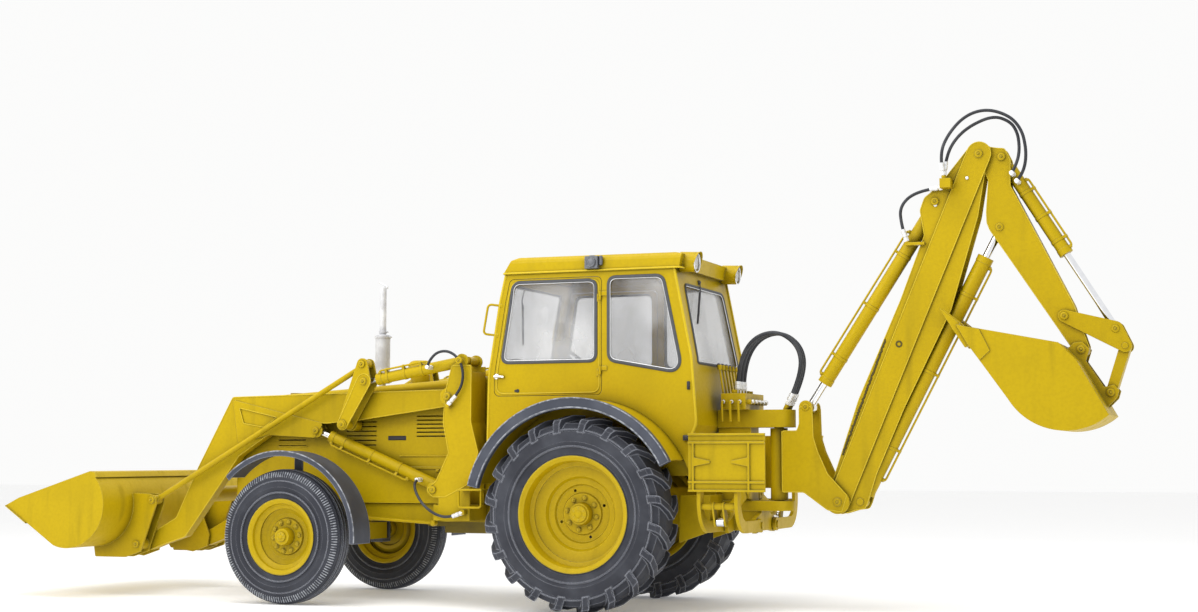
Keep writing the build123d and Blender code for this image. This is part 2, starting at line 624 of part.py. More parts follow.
seat_x, seat_z = -230, 1400
with BuildPart() as cab_interior:
    top = floor_z + 40
    block((seat_x - 120, seat_x + 120), (-130, 130), (top, seat_z - 60))
    block((seat_x - 210, seat_x + 210), (-220, 220), (seat_z - 60, seat_z - 40))
    block((560, 700), (-330, 330), (top + 380, top + 640))
    block((630, 700), (-110, 110), (top, top + 400))
    strut(at(600, 0, top + 500), at(330, 0, top + 760), 24)
    wheel_at = at(330, 0, top + 760)
    tilt = (at(330, 0, top + 760) - at(600, 0, top + 500)).normalized()
    with BuildSketch(Plane(wheel_at, x_dir=(0, 1, 0), z_dir=tilt)) as spokes:
        Rectangle(390, 26)
        Rectangle(26, 390)
    extrude(spokes.sketch, amount=10)
    with BuildSketch(Plane(wheel_at, x_dir=tilt, z_dir=Y)) as grip:
        with Locations((5, 200)):
            Circle(13)
    revolve(grip.sketch, axis=Axis(wheel_at, tilt))
    for y in (-300, -340):
        strut(at(120, y, top), at(120, y, top + 560), 9)
        strut(at(120, y, top + 560), at(120, y, top + 610), 20)

with BuildPart() as seat_cushion:
    block((seat_x - 210, seat_x + 210), (-220, 220), (seat_z - 39.7, seat_z + 50))
    fillet(seat_cushion.edges().filter_by(Axis.Z), radius=45)
    fillet(seat_cushion.edges().group_by(Axis.Z)[-1], radius=22)

# ---- Loader frame ---------------------------------------------------------------------------------

post_side = [(1078, 1745), (1130, 1553), (1146, 1330), (1100, 1110), (1200, 905), (1275, 842), (1226, 790),
             (1130, 790), (950, 878), (865, 1110), (925, 1330), (925, 1745)]
step_x, step_y, step_top = (789, 985), 692, 838
hose_y = 640                        # the loader's hoses run this far left and right of the middle
with BuildPart() as loader_frame:
    for near, far in ((post_in, post_in + plate), (post_out - plate, post_out)):
        slab(post_side, near, far)
        disc(tilt_base, 50, near, far)
        disc(arm_pin, 62, near, far)
        disc(lift_base, 50, near, far)
        slab([(925, 1700), (1000, 1800), (1078, 1745)], near, far)
    slab([(925, 1330), (925, 1700), (940, 1700), (940, 1330)], post_in, post_out)
    slab([(865, 1110), (925, 1330), (940, 1330), (880, 1110)], post_in, post_out)
    slab([(865, 1110), (880, 1110), (965, 878), (950, 878)], post_in, post_out)
    disc(arm_pin, 30, post_in, post_out + 10)
    disc(tilt_base, 20, post_in, post_out + 10)
    disc(lift_base, pin_r, post_in, post_out + 10)
    disc(arm_pin, 45, arm_out + gap, post_out - plate)
    disc(arm_pin, 45, post_in + plate, arm_in - 1)
    for near, far in ((post_in, lift_y - 31), (lift_y + 31, post_out)):
        disc(lift_base, 38, near, far)
    for near, far in ((post_in, tilt_y - 26), (tilt_y + 26, post_out)):
        disc(tilt_base, 34, near, far)
    # Saddle that carries the post on the chassis rail
    block((930, 1220), (rail_y + rail_w, post_out), (rail_low + 20, rail_high))
    block((930, 1220), (post_in, post_in + plate), (rail_high - 10, 900))
    block((930, 1180), (post_out - plate, post_out), (rail_high - 10, 900))
    # Stirrup step below the door
    block(step_x, (post_out - plate, step_y + 12), (step_top, step_top + 12))
    with BuildLine() as stirrup:
        rear, front, high, low = step_x[0] + 8, step_x[1] - 12, step_top + 6, step_top - 120
        FilletPolyline(at(rear, step_y, high), at(rear, step_y, low), at(front, step_y, low),
                       at(front, step_y, high), radius=20)
    with BuildSketch(car.offset(step_top + 6)) as bar:
        with Locations((step_x[0] + 8, step_y)):
            Circle(8)
    sweep(bar.sketch, path=stirrup.wires()[0])
    # Hose fittings on the post's outer side
    block((1078, 1104), (post_out, hose_y + 14), (1440, 1466))
    ferrule((1068, hose_y, 1480), (1090, hose_y, 1456.7), 14)
    block((948, 976), (post_out, hose_y + 14), (665, 700))
    ferrule((990, hose_y, 672), (967.4, hose_y, 680), 14)
    mirror(about=Plane.XZ)


# ---- Loader ---------------------------------------------------------------------------------------


def hull(circles, near, far, mode=Mode.ADD):
    """A plate wrapped round circles of the side view: (centre, radius)."""
    with BuildSketch(side.offset(-far)) as face:
        for centre, radius in circles:
            with Locations(centre):
                Circle(radius)
        make_hull()
    extrude(face.sketch, amount=far - near, mode=mode)


def strip(points, thickness, near, far):
    """A thin plate along a line of the side view."""
    with BuildSketch(side.offset(-far)) as face:
        with BuildLine():
            Polyline(*points)
        trace(line_width=thickness)
    extrude(face.sketch, amount=far - near)


arm_side = [(1112, 1576), (3032, 1541), (3331, 1005), (3530, 604), (3838, 440), (3775, 352), (3660, 395),
            (3447, 464), (3240, 733), (2970, 1089), (2714, 1250), (2560, 1262), (2370, 1350), (2203, 1335),
            (1904, 1361), (1227, 1450), (1112, 1466)]
arm_cross = (3318, 790)
with BuildPart() as loader_arms:
    slab(arm_side, arm_in, arm_out)
    disc(arm_pin, 55, arm_in, arm_out)
    disc(bucket_pin, 55, arm_in, arm_out)
    disc(lever_pin, 48, arm_in, arm_out)
    for near, far in ((arm_in, arm_in + plate), (arm_out - plate, arm_out)):
        hull([(lift_head, 52), ((2520, 1330), 80), ((2560, 1300), 50)], near, far)
    # Raised border of the fork's outer plate, round a recessed panel
    slab([(2225, 1335), (2465, 1388), (3032, 1523), (2975, 1180), (2714, 1248), (2300, 1226)],
         arm_out, arm_out + 6, radius=20)
    slab([(2633, 1383), (2969, 1458), (2931, 1338), (2747, 1307)], arm_out, arm_out + 7, radius=8,
         mode=Mode.SUBTRACT)
    disc(lever_pin, 22, arm_out, lever_out + 10)
    disc(lever_pin, 36, lever_out + 2, lever_out + 10)
    disc(arm_pin, 30 + pin_fit, arm_in - 1, arm_out + 1, Mode.SUBTRACT)
    disc(bucket_pin, 25 + pin_fit, arm_in - 1, arm_out + 1, Mode.SUBTRACT)
    strut(at(arm_cross[0], 0, arm_cross[1]), at(arm_cross[0], arm_in + 10, arm_cross[1]), 60)
    disc(lift_head, 26, arm_out + 6, arm_out + 14)
    mirror(about=Plane.XZ)

with BuildPart() as tilt_levers:
    for near, far in ((lever_in, lever_in + 14), (lever_out - 14, lever_out)):
        hull([(lever_pin, 40), (lever_mid, 56), (lever_top, 44)], near, far)
    disc(lever_pin, 36, lever_in, lever_out)
    disc(lever_top, 20, lever_in, lever_out + 8)
    disc(lever_mid, 26, lever_out, lever_out + 8)
    disc(lever_pin, 22 + pin_fit, lever_in - 1, lever_out + 1, Mode.SUBTRACT)
    mirror(about=Plane.XZ)

with BuildPart() as push_rods:
    strut(planar(lever_top, tilt_y), planar(push_pin, tilt_y), 21)
    disc(lever_top, 38, tilt_y - 32, tilt_y + 32)
    disc(push_pin, 36, tilt_y - 32, tilt_y + 32)
    disc(lever_top, 20 + pin_fit, tilt_y - 40, tilt_y + 40, Mode.SUBTRACT)
    mirror(about=Plane.XZ)


def scoop(share, z):
    """A point of the loader bucket, at a share of the way from its pin to its tip."""
    return (bucket_pin[0] + share * bucket_depth, z)


shell = 14
bucket_back, bucket_heel = scoop(0.174, 972), scoop(0.225, 424)
bucket_tip, bucket_crest = scoop(1, 706), scoop(0.873, 764)
ears = ((arm_in - 32, arm_in - 14), (arm_out + 12, arm_out + 30), (lever_out - 18, lever_out))
with BuildPart() as loader_bucket:
    with BuildSketch(side.offset(-bucket_y)) as hollow:
        with BuildLine():
            ThreePointArc(bucket_back, scoop(0.038, 720), bucket_heel)
            ThreePointArc(bucket_heel, scoop(0.36, 383), scoop(0.5185, 403))
            Polyline(scoop(0.5185, 403), bucket_tip, bucket_crest, bucket_back)
        make_face()
    extrude(hollow.sketch, amount=2 * bucket_y)
    with BuildSketch(side.offset(-bucket_y + shell)) as room:
        add(hollow.sketch_local)
        offset(amount=-shell, kind=Kind.INTERSECTION)
        add(outline([scoop(0.188, 945), scoop(0.887, 730), scoop(0.974, 702),
                     scoop(1.1, 800), scoop(0.2, 1100)]))
        make_face()
    extrude(room.sketch, amount=2 * (bucket_y - shell), mode=Mode.SUBTRACT)
    # Cutting edge and top rail
    slab([bucket_tip, scoop(0.803, 582), scoop(0.79, 566), scoop(0.998, 697)], -bucket_y - 10, bucket_y + 10)
    slab([bucket_back, scoop(0.132, 965), scoop(0.106, 925), scoop(0.132, 925)], -bucket_y, bucket_y)
    ear_side = [(3628, 712), (3628, 775), (3700, 795), (3850, 800), (3842, 700), (3880, 560), (4016, 426),
                (4160, 388), (4200, 392), (4185, 300), (3905, 300), (3765, 346)]
    for near, far in ears[1:]:
        slab(ear_side, near, far, radius=12)
    near, far = ears[0]
    slab([(3748, 440), (3842, 650), (3880, 560), (4016, 426), (4160, 388), (4120, 330),
          (3905, 300), (3765, 346)],
         near, far)
    disc(bucket_pin, 25, ears[0][0], ears[2][1] + 10)
    disc(bucket_pin, 42, ears[1][1], ears[2][0])
    disc(push_pin, 30, ears[2][1], ears[2][1] + 10)
    mirror(about=Plane.XZ)

with BuildPart() as lift_barrels:
    ram_barrel(lift_ram)
    foot = lift_ram.along(lift_feed_at)
    strut(foot + Y * (lift_ram.barrel_r - 6), foot + Y * (lift_ram.barrel_r + 16), 14)
    mirror(about=Plane.XZ)
with BuildPart() as lift_rods:
    ram_rod(lift_ram)
    mirror(about=Plane.XZ)
with BuildPart() as tilt_barrels:
    ram_barrel(tilt_ram)
    foot = tilt_ram.along(feed_at)
    strut(foot + Y * (tilt_ram.barrel_r - 6), foot + Y * (tilt_ram.barrel_r + 14), 14)
    mirror(about=Plane.XZ)
with BuildPart() as tilt_rods:
    ram_rod(tilt_ram)
    mirror(about=Plane.XZ)

# ---- Frame of the digging arm ---------------------------------------------------------------------

pivot_r = 35
column = (-1040, -800)
leg_x = ((-1145, -1120), (-880, -855))          # the two plates of a stabiliser's leg
lug_x = ((-1115, -1085), (-915, -885))          # the frame's lugs beside them
loop_starts, loop_ends = (-38, 38, 114), (-50, 0, 50)      # how far left the three hose loops start and end
with BuildPart() as backhoe_frame:
    block(column, (-100, 100), (560, 1290))
    for low, high, half in ((1290, 1415, 120), (700, 770, 110)):
        with BuildSketch(car.offset(low)) as bracket:
            with Locations(((column[1] + swing_x) / 2, 0)):
                Rectangle(column[1] - swing_x, 2 * half)
            with Locations((swing_x, 0)):
                Circle(half)
            if half > 100:
                add(outline([(-1120, -half - 1), (-1120 + 1, -half - 2), (swing_x - 200, -half - 2)]))
        extrude(bracket.sketch, amount=high - low)
    for y in loop_ends:
        ferrule((-1310, y, 1475), (-1278.3, y, 1410), 17)
    strut(at(swing_x, 0, 1190), at(swing_x, 0, 1290), pivot_r)
    strut(at(swing_x, 0, 770), at(swing_x, 0, 870), pivot_r)
    # Mounting plates to the axle housing, cross plates and the stabilisers' lugs
    for y in (1, -1):
        low, high = sorted((y * 160, y * 190))
        block((-805, -axle_gap), (low, high), (580, 860))
        wall([(y * 90, 560), (y * 400, 560), (y * 400, 815), (y * 90, 815)], -830, -805)
        low, high = sorted((y * 385, y * 400))
        slab([(-830, 560), (-830, 815), (-610, 815), (-600, 480)], low, high)
        for k, (rear, front) in enumerate(lug_x):
            wall([(y * 90, 560), (y * 235, 545), (y * 250, 600), (y * 235, 650), (y * 90, 690)], rear, front)
            strut(at(leg_x[k][k] + 20 * k - 10, y * stab_pin[0], stab_pin[1]),
                  at(lug_x[k][1 - k], y * stab_pin[0], stab_pin[1]), pin_r)
        for x in (stab_ram_x - 45, stab_ram_x + 30):
            wall([(y * 95, 780), (y * 170, 790), (y * 185, 820), (y * 170, 850), (y * 95, 880)], x, x + 15)
        strut(at(stab_ram_x - 50, y * stab_ram_base[0], stab_ram_base[1]),
              at(stab_ram_x + 50, y * stab_ram_base[0], stab_ram_base[1]), 18)
    block((lug_x[0][0], column[1]), (-100, 100), (560, 700))

with BuildPart() as valve_block:
    block((-1040, -860), (-230, 230), (1415, 1530))
    for k in range(6):
        y = -190 + 76 * k
        strut(at(-950, y, 1530), at(-950, y, 1556), 22)
        strut(at(-1040, y, 1470), at(-1075, y, 1470), 18)
        strut(at(-870, y, 1500), at(-840, y, 1700), 7)
        strut(at(-840, y, 1700), at(-838, y, 1735), 16)

# ---- Swing post -----------------------------------------------------------------------------------

post_web = (-1345, -1265)
hoe_post_side = [(-1275, 1262), (-1385, 1262), (-1402, 1310), (-1402, 1430), (-1492, 1430), (-1498, 1220),
                 (-1530, 1115), (-1600, 960), (-1735, 815), (-1700, 700), (-1600, 712), (-1430, 835),
                 (-1275, 835)]
with BuildPart() as swing_post:
    strut(at(swing_x, 0, 775), at(swing_x, 0, 1285), 62)
    block(post_web, (-post_plate_in, post_plate_in), (835, 1262))
    for y in (1, -1):
        low, high = sorted((y * post_plate_in, y * post_plate_out))
        slab(hoe_post_side, low, high, radius=12)
        disc(boom_ram_head, 47, low, high)
        disc(boom_pin, 84, low, high)
        low, high = sorted((y * 42, y * post_plate_in))
        disc(boom_ram_head, 36, low, high)
    disc(boom_pin, 30, -post_plate_out - 8, post_plate_out + 8)
    strut(at(swing_x, 0, 770), at(swing_x, 0, 1290), pivot_r + pin_fit, Mode.SUBTRACT)

# ---- Boom -----------------------------------------------------------------------------------------

boom_side = [(-1610, 715), (-1590, 800), (-1818, 1476), (-2007, 1905), (-2123, 2166), (-2296, 2612),
             (-2268, 2790), (-2300, 2875), (-2400, 2950), (-2606, 3200), (-2680, 3248), (-2760, 3200),
             (-2724, 3077), (-2664, 2734), (-2468, 2086), (-2134, 1417), (-1932, 956), (-1870, 760),
             (-1850, 722), (-1790, 715), (-1690, 685)]
outer_y, inner_y, front_y = 165, 130, 100       # the boom's hoses, left of the middle
with BuildPart() as boom:
    for y in (1, -1):
        low, high = sorted((y * web_in, y * web_out))
        slab(boom_side, low, high, radius=14)
        low, high = sorted((y * web_out, y * strap_out))
        hull([(boom_pin, 76), (dipper_pin, 82)], low, high)
    disc(boom_pin, 76, -web_in, web_in)
    strip([(-1655, 905), (-1735, 1206), (-1825, 1476), (-2014, 1905), (-2130, 2166), (-2290, 2560)],
          12, -web_in, web_in)
    strip([(-1760, 1010), (-2440, 2290)], 12, -web_in, web_in)
    strip([(-1690, 790), (-1760, 1010)], 12, -web_in, web_in)
    disc(boom_pin, 30 + pin_fit, -strap_out - 1, strap_out + 1, Mode.SUBTRACT)
    disc(dipper_pin, 28, -strap_out - 8, strap_out + 8)
    disc(boom_ram_base, pin_r, -web_out - 10, web_out + 10)
    disc(dipper_ram_base, pin_r, -web_out - 10, web_out + 10)
    # Hose brackets and their fittings
    block((-2500, -2425), (web_in, outer_y + 20), (2925, 2990))
    ferrule((-2445, outer_y, 3038), (-2453.4, outer_y, 2985.7), 15)
    ferrule((-2452, inner_y, 3051), (-2442.8, inner_y, 2987), 15)
    ferrule((-2402, front_y, 2936), (-2430, front_y, 2938.4), 15)
    block((-2300, -2165), (web_in, front_y + 12), (2545, 2565))
    ferrule((-2168, front_y, 2599), (-2180, front_y, 2561), 15)

# ---- Dipper ---------------------------------------------------------------------------------------

dipper_sheet = 10
dipper_side = [(-2640, 3110), (-2700, 3060), (-2740, 2980), (-2722, 2760), (-2724, 2683), (-2743, 2634),
               (-3262, 1830), (-3300, 1770), (-3372, 1778), (-3383, 1815), (-3290, 2100), (-2903, 2895),
               (-2884, 2930), (-2888, 3110), (-2850, 3190), (-2800, 3195), (-2680, 3220)]
with BuildPart() as dipper:
    inner = dipper_y - dipper_sheet
    for y in (1, -1):
        low, high = sorted((y * inner, y * dipper_y))
        slab(dipper_side, low, high, radius=10)
    disc(dipper_pin, 70, -dipper_y, dipper_y)
    disc(hoe_pin, 50, -dipper_y, dipper_y)
    disc(rocker_pin, 40, -dipper_y, dipper_y)
    strip([(-2902, 2400), (-3266, 1836), (-3300, 1800)], 12, -inner, inner)
    strip([(-2909, 2880), (-3284, 2100), (-3345, 1900)], 12, -inner, inner)
    disc(hoe_ram_base, pin_r, -dipper_y - 10, dipper_y + 10)
    disc(dipper_ram_head, 26, dipper_y, dipper_y + 4)
    disc(dipper_ram_head, 26, -dipper_y - 4, -dipper_y)
    disc(dipper_pin, 28 + pin_fit, -dipper_y - 1, dipper_y + 1, Mode.SUBTRACT)
    disc(hoe_pin, 26 + pin_fit, -dipper_y - 1, dipper_y + 1, Mode.SUBTRACT)
    disc(rocker_pin, 20 + pin_fit, -dipper_y - 1, dipper_y + 1, Mode.SUBTRACT)

ear_in, ear_out = dipper_y + gap, dipper_y + gap + 16
with BuildPart() as rocker:
    for y in (1, -1):
        low, high = sorted((y * ear_in, y * ear_out))
        hull([(rocker_pin, 42), (rocker_mid, 50), (link_pin, 44)], low, high)
    disc(rocker_pin, 20, -ear_out - 8, ear_out + 8)
    disc(link_pin, 20, -ear_out - 8, ear_out + 8)

with BuildPart() as link:
    half = ear_in - gap
    hull([(link_pin, 36), (link_foot, 34)], -half, half)
    slab([(-3605, 1762), (-3565, 1770), (-3520, 1570), (-3545, 1562)],
         -half + 16, half - 16, mode=Mode.SUBTRACT)
    disc(link_pin, 20 + pin_fit, -half - 1, half + 1, Mode.SUBTRACT)

# ---- Digging bucket -------------------------------------------------------------------------------

hoe_lip = (-2545, 1970)
hoe_shell = 12
with BuildPart() as hoe_bucket:
    with BuildSketch(side.offset(-hoe_bucket_y)) as hollow:
        with BuildLine():
            Polyline(hoe_lip, (-2625, 1830), (-2885, 1460))
            ThreePointArc((-2885, 1460), (-3160, 1262), (-3530, 1354))
            Polyline((-3530, 1354), (-3330, 1715), (-3215, 1835), hoe_lip)
        make_face()
    extrude(hollow.sketch, amount=2 * hoe_bucket_y)
    with BuildSketch(side.offset(-hoe_bucket_y + hoe_shell)) as room:
        add(hollow.sketch_local)
        offset(amount=-hoe_shell, kind=Kind.INTERSECTION)
        add(outline([(-2562, 1960), (-3222, 1824), (-3150, 2000), (-2600, 2100)]))
        make_face()
    extrude(room.sketch, amount=2 * (hoe_bucket_y - hoe_shell), mode=Mode.SUBTRACT)
    for y in (1, -1):
        low, high = sorted((y * ear_in, y * ear_out))
        slab([(-3345, 1850), (-3390, 1800), (-3365, 1720), (-3480, 1545), (-3545, 1560), (-3575, 1520),
              (-3560, 1470), (-3490, 1400), (-3505, 1330), (-3322, 1712), (-3240, 1800), (-3290, 1845)],
             low, high)
        low, high = sorted((y * hoe_bucket_y, y * (hoe_bucket_y + 10)))
        slab([(-2545, 1970), (-2625, 1830), (-2700, 1725), (-2770, 1790), (-2700, 1935)], low, high)
    disc(hoe_pin, 26, -ear_out - 8, ear_out + 8)
    disc(link_foot, 24, ear_out, ear_out + 8)
    disc(link_foot, 24, -ear_out - 8, -ear_out)
    for y in (-285, -130, 130, 285):
        slab([(-2430, 2090), (-2560, 1985), (-2645, 1830), (-2600, 1815), (-2520, 1940)], y - 22, y + 22)

# ---- Rams of the digging arm ----------------------------------------------------------------------

with BuildPart() as boom_barrel:
    ram_barrel(boom_ram)
with BuildPart() as boom_rod:
    ram_rod(boom_ram)
with BuildPart() as dipper_barrel:
    ram_barrel(dipper_ram)
with BuildPart() as dipper_rod:
    ram_rod(dipper_ram)
with BuildPart() as hoe_barrel:
    ram_barrel(hoe_ram)
    for mark in port_marks:
        foot = hoe_ram.along(mark)
        strut(foot + Y * (hoe_ram.barrel_r - 6), foot + Y * port_face, 15)
with BuildPart() as hoe_rod:
    ram_rod(hoe_ram)

# ---- Stabilisers ----------------------------------------------------------------------------------

leg_w = 80
pad_low, pad_high, pad_sheet = 845, 1240, 12
with BuildPart() as stabiliser_left:
    leg_y = stab_sole - 13 - pad_sheet - leg_w / 2
    for rear, front in leg_x:
        with BuildSketch(across(rear)) as leg:
            with BuildLine():
                FilletPolyline(stab_pin, (leg_y, stab_pin[1]), (leg_y, 1120), radius=170)
            trace(line_width=leg_w)
            with Locations(stab_pin):
                Circle(48)
        extrude(leg.sketch, amount=front - rear)
        strut(at(rear - 1, *stab_pin), at(front + 1, *stab_pin), pin_r + pin_fit, Mode.SUBTRACT)
    sole_in = stab_sole - 13 - pad_sheet
    block(stab_x, (sole_in, sole_in + pad_sheet), (pad_low, pad_high))
    # Bands, ribs and wedge gussets on the sole
    face = (sole_in + pad_sheet - 1, stab_sole)
    for low, high in ((pad_low, pad_low + 14), (903, 917), (1171, 1185), (pad_high - 14, pad_high)):
        block(stab_x, face, (low, high))
    for x, inward in ((-1228, 120), (-836, -120)):
        block((x - 7, x + 7), face, (pad_low, 1171))
        slab([(x, 1078), (x, 1016), (x + inward, 1040), (x + inward, 1054)], *face)
    # Cross tube and the seat of the ram's rod
    tube = (leg_y, 745)
    strut(at(leg_x[0][0], *tube), at(leg_x[1][1], *tube), 24)
    for x in (stab_ram_x - 42, stab_ram_x + 30):
        with BuildSketch(across(x)) as seat:
            for centre, radius in ((tube, 32), (stab_ram_head, 34)):
                with Locations(centre):
                    Circle(radius)
            make_hull()
        extrude(seat.sketch, amount=12)
with BuildPart() as stabiliser_right:
    mirror(stabiliser_left.part, about=Plane.XZ)
with BuildPart() as stab_barrel_left:
    ram_barrel(stab_ram)
with BuildPart() as stab_barrel_right:
    mirror(stab_barrel_left.part, about=Plane.XZ)
with BuildPart() as stab_rod_left:
    ram_rod(stab_ram)
with BuildPart() as stab_rod_right:
    mirror(stab_rod_left.part, about=Plane.XZ)

# ---- Hoses ----------------------------------------------------------------------------------------

loop_r, arm_hose_r, loader_hose_r = 14, 11, 10
with BuildPart() as machine_hoses:
    for start, end in zip(loop_starts, loop_ends):
        hose([(-950, start, 1556.7), (-955, start, 1740), (-1060, start, 1930),
              (-1240, (start + end) / 2, 1980), (-1390, end, 1860),
              (-1400, end, 1660), (-1310.2, end, 1475.4)], loop_r)
    for y in (1, -1):
        hose([(x, y * out, z) for x, out, z in
              ((1261.2, 585.3, 1736.4), (1261.2, 640, 1736.4), (1238, 640, 1790), (1180, 640, 1845),
               (1095, 640, 1853), (1022, 640, 1812), (975, 640, 1735), (968, 640, 1640),
               (1000, 640, 1552), (1067.8, 640, 1480.2))], loader_hose_r)
        hose([(x, y * out, z) for x, out, z in
              ((1397.1, 470.3, 912.4), (1397.1, 530, 912.4), (1385, 590, 870), (1345, 625, 805),
               (1280, 638, 725), (1185, 640, 662), (1080, 640, 640), (990.2, 640, 671.9))], loader_hose_r)

with BuildPart() as boom_hoses:
    hose([(-2445, 165, 3038.2), (-2426, 165, 3157), (-2483, 165, 3293), (-2602, 165, 3418),
          (-2752, 165, 3456),
          (-2907, 165, 3396), (-2985, 165, 3295), (-3010, 165, 3176), (-3008, 160, 3080), (-2985, 148, 3005),
          (-2941.6, 130, 2951.2), (-2941.6, 80.3, 2951.2)], arm_hose_r)
    hose([(-2452, 130, 3051.2), (-2467, 130, 3155), (-2531, 130, 3269), (-2635, 130, 3353),
          (-2792, 130, 3411),
          (-2906, 130, 3362), (-2952, 130, 3283), (-2963, 130, 3186), (-2955, 130, 3112), (-2932, 130, 3052),
          (-2907.9, 130, 3006.8), (-2907.9, 80.3, 3006.8)], arm_hose_r)
    hose([(-2401.8, 100, 2936), (-2249, 100, 2923), (-2129, 100, 2824), (-2141, 100, 2684),
          (-2168, 100, 2599.2)], arm_hose_r)

# ---- Write every piece ----------------------------------------------------------------------------

pieces = {
    "chassis_frame": chassis_frame, "engine_block": engine_block, "rear_axle": rear_axle,
    "front_axle": front_axle, "knuckle_left": knuckle_left, "knuckle_right": knuckle_right,
    "rear_rim_left": rear_rim_left, "rear_rim_right": rear_rim_right,
    "front_rim_left": front_rim_left, "front_rim_right": front_rim_right,
    "rear_tyre_left": rear_tyre_left, "rear_tyre_right": rear_tyre_right,
    "front_tyre_left": front_tyre_left, "front_tyre_right": front_tyre_right,
    "hood": hood, "exhaust": exhaust,
    "cab_body": cab_body, "cab_roof": cab_roof, "cab_glass": cab_glass, "lamps": lamps,
    "door_left": door_left, "door_right": door_right,
    "door_glass_left": door_glass_left, "door_glass_right": door_glass_right,
    "rear_fenders": rear_fenders, "fender_flaps": fender_flaps,
    "cab_interior": cab_interior, "seat_cushion": seat_cushion,
    "loader_frame": loader_frame, "loader_arms": loader_arms, "loader_bucket": loader_bucket,
    "tilt_levers": tilt_levers, "push_rods": push_rods,
    "lift_barrels": lift_barrels, "lift_rods": lift_rods,
    "tilt_barrels": tilt_barrels, "tilt_rods": tilt_rods,
    "backhoe_frame": backhoe_frame, "valve_block": valve_block, "swing_post": swing_post,
    "boom": boom, "boom_barrel": boom_barrel, "boom_rod": boom_rod,
    "dipper": dipper, "dipper_barrel": dipper_barrel, "dipper_rod": dipper_rod,
    "hoe_barrel": hoe_barrel, "hoe_rod": hoe_rod, "rocker": rocker, "link": link,
    "hoe_bucket": hoe_bucket,
    "stabiliser_left": stabiliser_left, "stabiliser_right": stabiliser_right,
    "stab_barrel_left": stab_barrel_left, "stab_barrel_right": stab_barrel_right,
    "stab_rod_left": stab_rod_left, "stab_rod_right": stab_rod_right,
    "machine_hoses": machine_hoses, "boom_hoses": boom_hoses,
}
os.makedirs("parts", exist_ok=True)
for name, piece in pieces.items():
    piece.part.label = name
    export_step(piece.part, f"parts/{name}.step")
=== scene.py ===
import json
import math
import random
from contextlib import contextmanager

import bmesh
import bpy
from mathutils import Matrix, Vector

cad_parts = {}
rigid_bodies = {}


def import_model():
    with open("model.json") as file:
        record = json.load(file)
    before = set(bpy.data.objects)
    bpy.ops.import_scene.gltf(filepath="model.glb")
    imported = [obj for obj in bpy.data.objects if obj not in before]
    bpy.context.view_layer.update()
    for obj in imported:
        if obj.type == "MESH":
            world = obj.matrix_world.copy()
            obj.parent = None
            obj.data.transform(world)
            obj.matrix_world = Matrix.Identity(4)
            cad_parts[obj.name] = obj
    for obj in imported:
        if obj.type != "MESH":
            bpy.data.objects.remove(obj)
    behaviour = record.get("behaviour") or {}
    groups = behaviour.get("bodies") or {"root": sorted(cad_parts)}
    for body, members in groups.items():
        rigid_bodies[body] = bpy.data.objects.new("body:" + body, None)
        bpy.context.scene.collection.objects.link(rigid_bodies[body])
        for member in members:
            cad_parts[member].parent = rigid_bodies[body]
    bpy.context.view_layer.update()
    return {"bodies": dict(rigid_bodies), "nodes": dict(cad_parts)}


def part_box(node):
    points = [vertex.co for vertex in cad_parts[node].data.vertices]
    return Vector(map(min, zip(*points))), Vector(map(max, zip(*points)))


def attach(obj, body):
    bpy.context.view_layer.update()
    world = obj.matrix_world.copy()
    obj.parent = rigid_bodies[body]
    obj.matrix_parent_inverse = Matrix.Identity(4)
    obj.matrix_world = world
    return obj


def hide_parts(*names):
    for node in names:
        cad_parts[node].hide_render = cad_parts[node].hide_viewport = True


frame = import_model()

# ---- Camera, floor and light ----------------------------------------------------------------------
# A low three-quarter view from the left and a little behind, on a plain pale floor
# under large soft lamps. Places are metres ahead of the rear axle, left of the middle
# and above the ground; spot() turns them into the frame's own metres.
tyre_back, tyre_front = (corner[0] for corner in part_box("rear_tyre_left"))
axle_x = (tyre_back + tyre_front) / 2


def spot(x, y, z):
    return Vector((axle_x + x, y, z))


yaw, pitch = math.radians(21.304), math.radians(4.773)
camera_data = bpy.data.cameras.new("camera")
camera_data.lens = 54.22
camera_data.sensor_width = 36
camera = bpy.data.objects.new("camera", camera_data)
camera.location = (-5.2464, 12.4867, 1.0822)
line_of_sight = Vector((math.sin(yaw) * math.cos(pitch), -math.cos(yaw) * math.cos(pitch), math.sin(pitch)))
camera.rotation_euler = line_of_sight.to_track_quat("-Z", "Y").to_euler()
bpy.context.scene.collection.objects.link(camera)
bpy.context.scene.camera = camera
bpy.context.scene.view_settings.view_transform = "Standard"


def soft_lamp(name, place, aim, size, power, colour=(1, 1, 1)):
    lamp = bpy.data.lights.new(name, "AREA")
    lamp.shape = "RECTANGLE"
    lamp.size, lamp.size_y = size
    lamp.energy = power
    lamp.color = colour
    holder = bpy.data.objects.new(name, lamp)
    holder.location = place
    holder.rotation_euler = (Vector(aim) - Vector(place)).to_track_quat("-Z", "Y").to_euler()
    bpy.context.scene.collection.objects.link(holder)


soft_lamp("overhead_lamp", (0.5, 2.5, 9.0), (0, 0, 1), (9, 5), 420)
soft_lamp("side_lamp", (3.0, 9.0, 6.5), (1.0, 0, 1), (6, 3), 290, (1, 0.985, 0.95))
soft_lamp("front_lamp", (9.5, 4.0, 4.5), (1, 0, 1), (4, 3), 90)
soft_lamp("far_lamp", (2.0, -9.0, 4.5), (0, 0, 1.5), (6, 3), 60)

